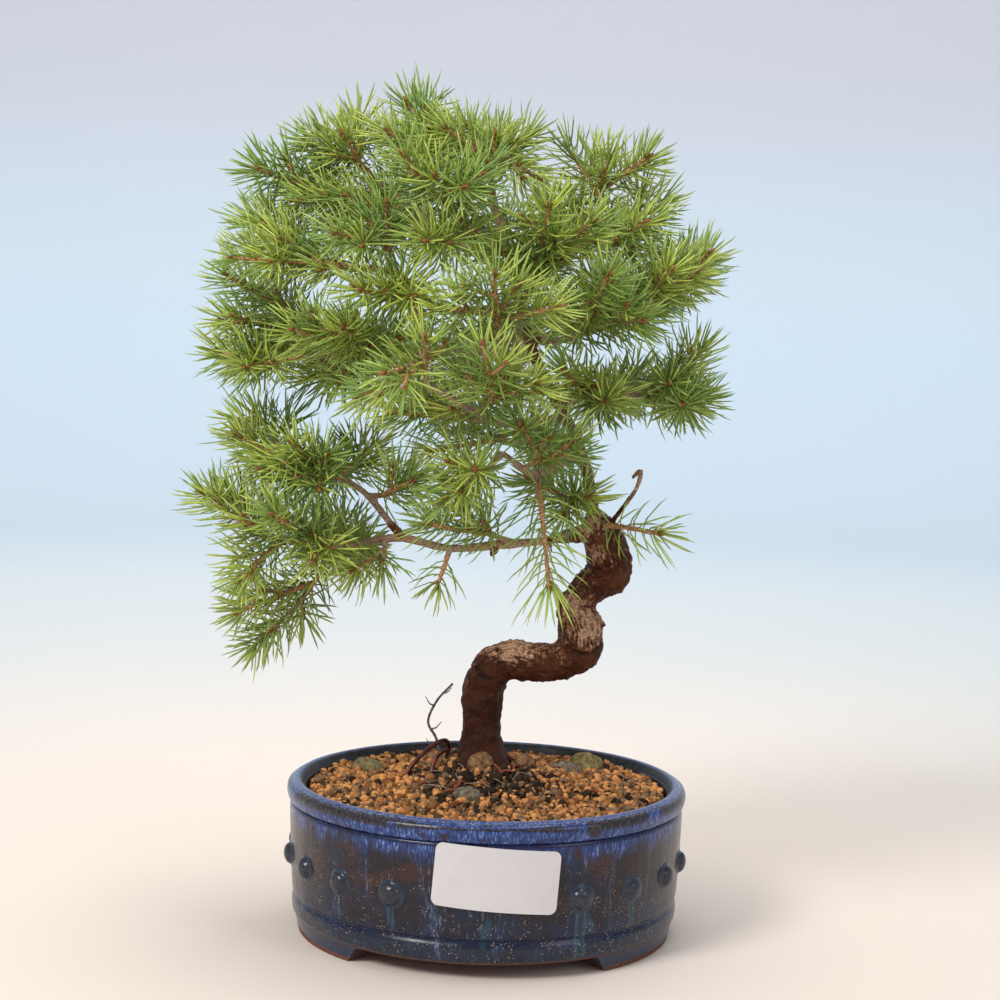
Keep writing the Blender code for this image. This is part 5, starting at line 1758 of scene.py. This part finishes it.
def side_shoots(rng, route):
    """Short routes that leave a twig on alternate sides, a little forward of straight out."""
    rows = resampled(smooth_route(route, 6), 1.0)
    total = distances(rows)[-1]
    ahead_rows = frames_along(rows)[0]
    found = []
    place = FIRST_SHOOT * total + rng.uniform(0, FIRST_SHOOT_SPREAD)
    hand = rng.choice([-1, 1])
    while place < total - BARE_TIP:
        index = min(len(rows) - 1, int(place / total * (len(rows) - 1)))
        start, ahead = rows[index], ahead_rows[index]
        flat = unit(np.cross(ahead, (0, 0, 1)))
        lifted = np.cross(flat, ahead)
        roll = rng.normal(0, SHOOT_ROLL)
        outward = hand * flat * math.cos(roll) + lifted * (math.sin(roll) + SHOOT_RISE)
        angle = math.radians(rng.uniform(*SHOOT_ANGLES))
        direction = unit(ahead * math.cos(angle) + unit(outward) * math.sin(angle))
        size = rng.uniform(*SHOOT_LENGTHS) * (SHOOT_SHORTENING[0] - SHOOT_SHORTENING[1] * place / total)
        middle = start + direction * size * 0.5 - ahead * 0.4
        found.append(np.array([start, middle, start + direction * size]))
        place += rng.uniform(*SHOOT_GAPS)
        hand = -hand
    return found


# Sprays that hang or stand loosely, without side shoots, and how much longer their needles are
LOOSE_SPRAYS = {"front_low_2": 1.30, "right_low_1": 1.02, "low_left_5": 0.95}
# How far a spray's own twig reaches back into its peg, the bare length at its root and at those of
# its forks and shoots, and how much past a shoot's end the box has to hold, as a share of its length
PEG_OVERLAP = 1.0
BARE_ROOTS = (2.0, 1.0)
SHOOT_MARGIN = 0.06


def make_sprays(s):
    """Every needled spray, in place of its plain solid."""
    wood = bpy.context.scene.bonsai_wood
    finishes = [needle_finish(s), twig_finish(wood), bud_finish(s)]
    for index, name in enumerate(SPRAYS):
        rng = np.random.default_rng(100 + index)
        lead, *forks = twig_routes(name)
        cut = PEG_LENGTH - PEG_OVERLAP
        lead = np.concatenate([[point_along(lead, cut)], lead[distances(lead) > cut + 1]])
        loose = name in LOOSE_SPRAYS
        kind = TWIG_KINDS["hanging" if loose else "twig"]
        spray = Gathered()
        for twig, route in enumerate([lead, *forks]):
            bare = BARE_ROOTS[0] if twig == 0 else BARE_ROOTS[1]
            dress_twig(spray, rng, route, s, bare, kind, LOOSE_SPRAYS.get(name, 1.0))
            for shoot in [] if loose else side_shoots(rng, route):
                if inside_box(shoot[-1] + SHOOT_MARGIN * (shoot[-1] - shoot[0])):
                    dress_twig(spray, rng, shoot, s, BARE_ROOTS[1], TWIG_KINDS["shoot"])
        placed(spray.built("needled_" + name, finishes), "needles", "spray_" + name)


# Small parts

def sticker_finish(s):
    """Smooth white paper under a clear coat."""
    f = Finish("sticker", specular_ior_level=0.5, coat_weight=0.5, coat_roughness=0.12)
    faint = f.noise(f.place(), 0.02, 2.0)
    tint = f.mix(faint, scaled(s.paper, 0.95), scaled(s.paper, 1.03))
    return f.finished(tint, 0.22 + 0.12 * faint, faint, 0.0004)


def sticker_pucker(across, up):
    """How far the sticker lifts off the pot: a soft swelling at its foot and a crease at its left."""
    swelling = 0.35 * np.exp(-(((across + 3) / 13) ** 2) - ((up + 11.5) / 4.5) ** 2)
    crease = 0.25 * np.exp(-(((across + 19 - 0.4 * up) / 3.0) ** 2) - ((up - 1) / 8) ** 2)
    return swelling + crease


# The sticker's rows along its straight sides and round its corners, its columns, and how much of a
# pucker its back follows
SIDE_ROWS = 18
CORNER_ROWS = 9
STICKER_COLUMNS = 64
BACK_PUCKER = 0.6


def make_label(s):
    """A blank, glossy sticker with round corners, bent round the pot and slightly puckered."""
    flat = LABEL_HEIGHT / 2 - LABEL_CORNER
    corner = flat + LABEL_CORNER * np.sin(np.radians(np.linspace(0, 90, CORNER_ROWS)))
    ups = [*-corner[::-1], *np.linspace(-flat, flat, SIDE_ROWS)[1:-1], *corner]
    front, back = [], []
    for up in ups:
        over = max(0.0, abs(up) - flat)
        reach = LABEL_WIDTH / 2 - LABEL_CORNER + math.sqrt(max(0.0, LABEL_CORNER**2 - over**2))
        across = np.linspace(-reach, reach, STICKER_COLUMNS)
        turned_x = across * math.cos(LABEL_TILT) - up * math.sin(LABEL_TILT)
        turned_z = across * math.sin(LABEL_TILT) + up * math.cos(LABEL_TILT)
        pucker = sticker_pucker(across, up)
        azimuth = LABEL_AZIMUTH + turned_x / LABEL_RADIUS
        height = LABEL_CENTRE_HEIGHT + turned_z
        front.append(round_the_pot(azimuth, LABEL_RADIUS + LABEL_THICKNESS + pucker, height))
        back.append(round_the_pot(azimuth, LABEL_RADIUS + pucker * BACK_PUCKER, height))
    count = len(ups)
    total = count * STICKER_COLUMNS
    face = grid_quads(count, STICKER_COLUMNS, columns_meet=False)
    place = np.arange(total).reshape(count, STICKER_COLUMNS)
    rim = np.concatenate([place[0], place[1:, -1], place[-1, -2::-1], place[-2:0:-1, 0]])
    after = np.roll(rim, -1)
    edge = np.stack([rim, rim + total, after + total, after], axis=1)
    sheet = Gathered()
    sheet.add(np.concatenate([*front, *back]), [face, face[:, ::-1] + total, edge])
    made = sheet.built("blank_sticker", [sticker_finish(s)])
    made.data.set_sharp_from_angle(angle=SHARP_ANGLE)
    placed(made, "label", "label")


# A wire's samples between the points of its route, and the corners of its section
WIRE_SAMPLES = 14
WIRE_SIDES = 16


def make_wires(s):
    """Brown coated wires that tie the roots down."""
    f = Finish("brown_wire", metallic=0.75, specular_ior_level=0.6)
    worn = f.noise(f.place(), 0.004, 3.0)
    tint = f.mix(worn.step(0.35, 0.7), scaled(s.wire, 0.7), scaled(s.wire, 1.6))
    material = f.finished(tint, 0.26 + 0.2 * worn, worn, 0.0001)
    for name, route in WIRES.items():
        rows = smooth_route([(*p, WIRE_RADIUS) for p in route], WIRE_SAMPLES)
        wire = Gathered()
        wire.add(*swept(rows, WIRE_SIDES))
        made = wire.built("brown_" + name, [material])
        made.data.set_sharp_from_angle(angle=SHARP_ANGLE)
        placed(made, "wire", name)


# Broken side twigs: how far along the dry twig, reach to the right or left, and rise
SIDE_TWIGS = [(0.24, 7.0, 4.0), (0.30, -6.0, 6.0), (0.50, 5.0, 4.0), (0.74, -4.0, 4.5), (0.88, 4.0, 3.0)]
SIDE_TWIG_RADII = (0.42, 0.34, 0.16)
# How far side twigs lean to the front, as a share of their reach, and how uneven the dry twig is
SIDE_TWIG_LEAN = 0.4
DRY_UNEVENNESS = 0.15


def make_dry_twig(s):
    """A thin dead twig with broken side twigs, standing behind the trunk."""
    f = Finish("dead_bark")
    fine = f.noise(f.place(), 0.001, 4.0)
    tint = f.mix(fine.step(0.35, 0.65), scaled(s.dead, 0.45), scaled(s.dead, 1.15))
    material = f.finished(tint, 0.85, fine, 0.0003)
    rng = np.random.default_rng(5)
    twig = Gathered()
    rows = resampled(smooth_route(DRY_TWIG, 8), 0.9)
    rows[:, 3] *= 1 + DRY_UNEVENNESS * rng.uniform(-1, 1, len(rows))
    twig.add(*swept(rows, 8))
    for share, reach, rise in SIDE_TWIGS:
        root = rows[int(share * (len(rows) - 1)), :3]
        end = root + (reach, -abs(reach) * SIDE_TWIG_LEAN, rise)
        middle = root + (reach * 0.5, -1.5, rise * 0.25)
        twig.add(*swept(resampled(np.column_stack([[root, middle, end], SIDE_TWIG_RADII]), 0.8), 6))
    placed(twig.built("dead_side_twig", [material]), "dry_wood", "dry_twig")


# Stage

STAGE_TINTS = {
    "low": (0.70, 0.725, 0.715),
    "middle": (0.68, 0.80, 0.89),
    "high": (0.64, 0.635, 0.68),
    "cloud": (0.9, 0.88, 0.86),
}
# The stage's flat floor, the curve at its edge with its radius and turns, and the height of its wall
FLOOR_RADII = (0.01, 500.0, 1200.0, 2000.0)
STAGE_CURVE = 900.0
CURVE_TURNS = np.radians(np.arange(6, 91, 6))
STAGE_HEIGHT = 1500.0
STAGE_SIDES = 96
# Lights: place and aim in metres, size, power in watts and tint
LIGHTS = {
    "key_light": ((-1.2, -1.3, 1.5), (0, 0, 0.17), 0.8, 30.0, (1.0, 0.98, 0.95)),
    "fill_light": ((1.5, -1.2, 1.0), (0, 0, 0.17), 0.9, 5.0, (0.96, 0.98, 1.0)),
    "top_light": ((0.1, 0.1, 1.9), (0, 0, 0.17), 1.0, 12.0, (1.0, 1.0, 1.0)),
    "backdrop_light": ((0.0, 0.9, 1.8), (0, 3.0, 0.5), 1.6, 19.0, (1.0, 1.0, 1.0)),
}
ROOM_TINT = (0.92, 0.95, 1.0, 1.0)
ROOM_LIGHT = 0.42


def stage_finish(s):
    """Warm white near the pot, turning pale blue and then grey-violet up the far wall."""
    f = Finish("pale_stage", specular_ior_level=0.2)
    place = f.place()
    x, y, z = f.axes(place)
    faint = f.noise(place, 0.35, 3.0)
    away = (x**2 + y**2).maths("SQRT")
    tint = f.mix(away.step(0.20, 1.00), tuple(s.floor), STAGE_TINTS["low"])
    tint = f.mix(away.step(0.7, 2.3), tint, STAGE_TINTS["middle"])
    tint = f.mix(z.step(0.25, 0.90), tint, STAGE_TINTS["high"])
    return f.finished(f.mix(faint * 0.05, tint, STAGE_TINTS["cloud"]), 0.65 + 0.1 * faint)


def make_floor(s):
    """A pale round floor that curves up into a wall far away."""
    outline = [(0.0, radius) for radius in FLOOR_RADII]
    for turn in CURVE_TURNS:
        outline.append((STAGE_CURVE * (1 - math.cos(turn)), FLOOR_RADII[-1] + STAGE_CURVE * math.sin(turn)))
    outline.append((STAGE_HEIGHT, FLOOR_RADII[-1] + STAGE_CURVE))
    points, quads, _ = turned(outline, STAGE_SIDES)
    floor = Gathered()
    floor.add(points, quads[: (len(outline) - 1) * STAGE_SIDES])
    floor.built("pale_floor", [stage_finish(s)])


def make_lights(s):
    """Soft round lights, and the room's own faint light."""
    for name, (place, aim, size, power, tint) in LIGHTS.items():
        data = bpy.data.lights.new(name, "AREA")
        data.shape, data.size, data.energy, data.color = "DISK", size, power * s.light, tint
        lamp = bpy.data.objects.new(name, data)
        lamp.location = place
        lamp.rotation_euler = (Vector(aim) - Vector(place)).to_track_quat("-Z", "Y").to_euler()
        bpy.context.scene.collection.objects.link(lamp)
    world = bpy.data.worlds.new("studio")
    world.use_nodes = True
    room = world.node_tree.nodes["Background"].inputs
    room["Color"].default_value = ROOM_TINT
    room["Strength"].default_value = ROOM_LIGHT * s.light
    bpy.context.scene.world = world
    bpy.context.scene.view_settings.view_transform = "Standard"


def make_camera():
    """The camera at the photograph's place, angle and lens."""
    data = bpy.data.cameras.new("photo_camera")
    data.lens, data.sensor_width = CAMERA_LENS, CAMERA_SENSOR
    data.clip_start, data.clip_end = CAMERA_RANGE
    camera = bpy.data.objects.new("photo_camera", data)
    turn = Matrix.Rotation(math.pi / 2 - CAMERA_DROP, 4, "X") @ Matrix.Rotation(CAMERA_ROLL, 4, "Z")
    camera.matrix_world = Matrix.Translation((Vector(CAMERA_PLACE) + Vector(POT_MIDDLE)) * MM) @ turn
    bpy.context.scene.collection.objects.link(camera)
    bpy.context.scene.camera = camera


# Operators

class BONSAI_OT_pot(bpy.types.Operator):
    """Builds the glazed pot with its studs and feet"""

    bl_idname = "bonsai.pot"
    bl_label = "Pot"

    def execute(self, context):
        make_pot(context.scene.bonsai_pot)
        return {"FINISHED"}


class BONSAI_OT_soil(bpy.types.Operator):
    """Builds the soil bed with its grains, stones and fibres"""

    bl_idname = "bonsai.soil"
    bl_label = "Soil"

    def execute(self, context):
        make_soil(context.scene.bonsai_soil)
        return {"FINISHED"}


class BONSAI_OT_wood(bpy.types.Operator):
    """Builds the trunk, roots, leader and limbs as one piece"""

    bl_idname = "bonsai.wood"
    bl_label = "Living wood"

    def execute(self, context):
        make_wood(context.scene.bonsai_wood)
        return {"FINISHED"}


class BONSAI_OT_sprays(bpy.types.Operator):
    """Builds every needled spray"""

    bl_idname = "bonsai.sprays"
    bl_label = "Sprays"

    def execute(self, context):
        make_sprays(context.scene.bonsai_needles)
        return {"FINISHED"}


class BONSAI_OT_label(bpy.types.Operator):
    """Builds the blank sticker"""

    bl_idname = "bonsai.label"
    bl_label = "Sticker"

    def execute(self, context):
        make_label(context.scene.bonsai_small_parts)
        return {"FINISHED"}


class BONSAI_OT_wires(bpy.types.Operator):
    """Builds the two tie wires"""

    bl_idname = "bonsai.wires"
    bl_label = "Tie wires"

    def execute(self, context):
        make_wires(context.scene.bonsai_small_parts)
        return {"FINISHED"}


class BONSAI_OT_dry_twig(bpy.types.Operator):
    """Builds the dead twig that stands in the soil"""

    bl_idname = "bonsai.dry_twig"
    bl_label = "Dry twig"

    def execute(self, context):
        make_dry_twig(context.scene.bonsai_small_parts)
        return {"FINISHED"}


class BONSAI_OT_stage(bpy.types.Operator):
    """Builds the pale floor, the lights and the camera"""

    bl_idname = "bonsai.stage"
    bl_label = "Stage"

    def execute(self, context):
        make_floor(context.scene.bonsai_stage)
        make_lights(context.scene.bonsai_stage)
        make_camera()
        return {"FINISHED"}


SETTINGS = {
    "bonsai_pot": PotSettings,
    "bonsai_soil": SoilSettings,
    "bonsai_wood": WoodSettings,
    "bonsai_needles": NeedleSettings,
    "bonsai_small_parts": SmallPartSettings,
    "bonsai_stage": StageSettings,
}
STEPS = [
    BONSAI_OT_pot,
    BONSAI_OT_soil,
    BONSAI_OT_wood,
    BONSAI_OT_sprays,
    BONSAI_OT_label,
    BONSAI_OT_wires,
    BONSAI_OT_dry_twig,
    BONSAI_OT_stage,
]


class BONSAI_PT_steps(bpy.types.Panel):
    """Lists the steps that build the bonsai, with their settings"""

    bl_label = "Bonsai"
    bl_space_type = "VIEW_3D"
    bl_region_type = "UI"
    bl_category = "Bonsai"

    def draw(self, context):
        for step in STEPS:
            self.layout.operator(step.bl_idname)
        for key in SETTINGS:
            group = getattr(context.scene, key)
            box = self.layout.box()
            for name in group.bl_rna.properties.keys():
                if name not in {"rna_type", "name"}:
                    box.prop(group, name)


CLASSES = [*SETTINGS.values(), *STEPS, BONSAI_PT_steps]


def register():
    for made in CLASSES:
        bpy.utils.register_class(made)
    for key, group in SETTINGS.items():
        setattr(bpy.types.Scene, key, PointerProperty(type=group))


def unregister():
    for key in SETTINGS:
        delattr(bpy.types.Scene, key)
    for made in reversed(CLASSES):
        bpy.utils.unregister_class(made)


def main():
    register()
    bpy.ops.bonsai.pot()
    bpy.ops.bonsai.soil()
    bpy.ops.bonsai.wood()
    bpy.ops.bonsai.sprays()
    bpy.ops.bonsai.label()
    bpy.ops.bonsai.wires()
    bpy.ops.bonsai.dry_twig()
    bpy.ops.bonsai.stage()
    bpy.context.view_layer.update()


if __name__ == "__main__":
    main()
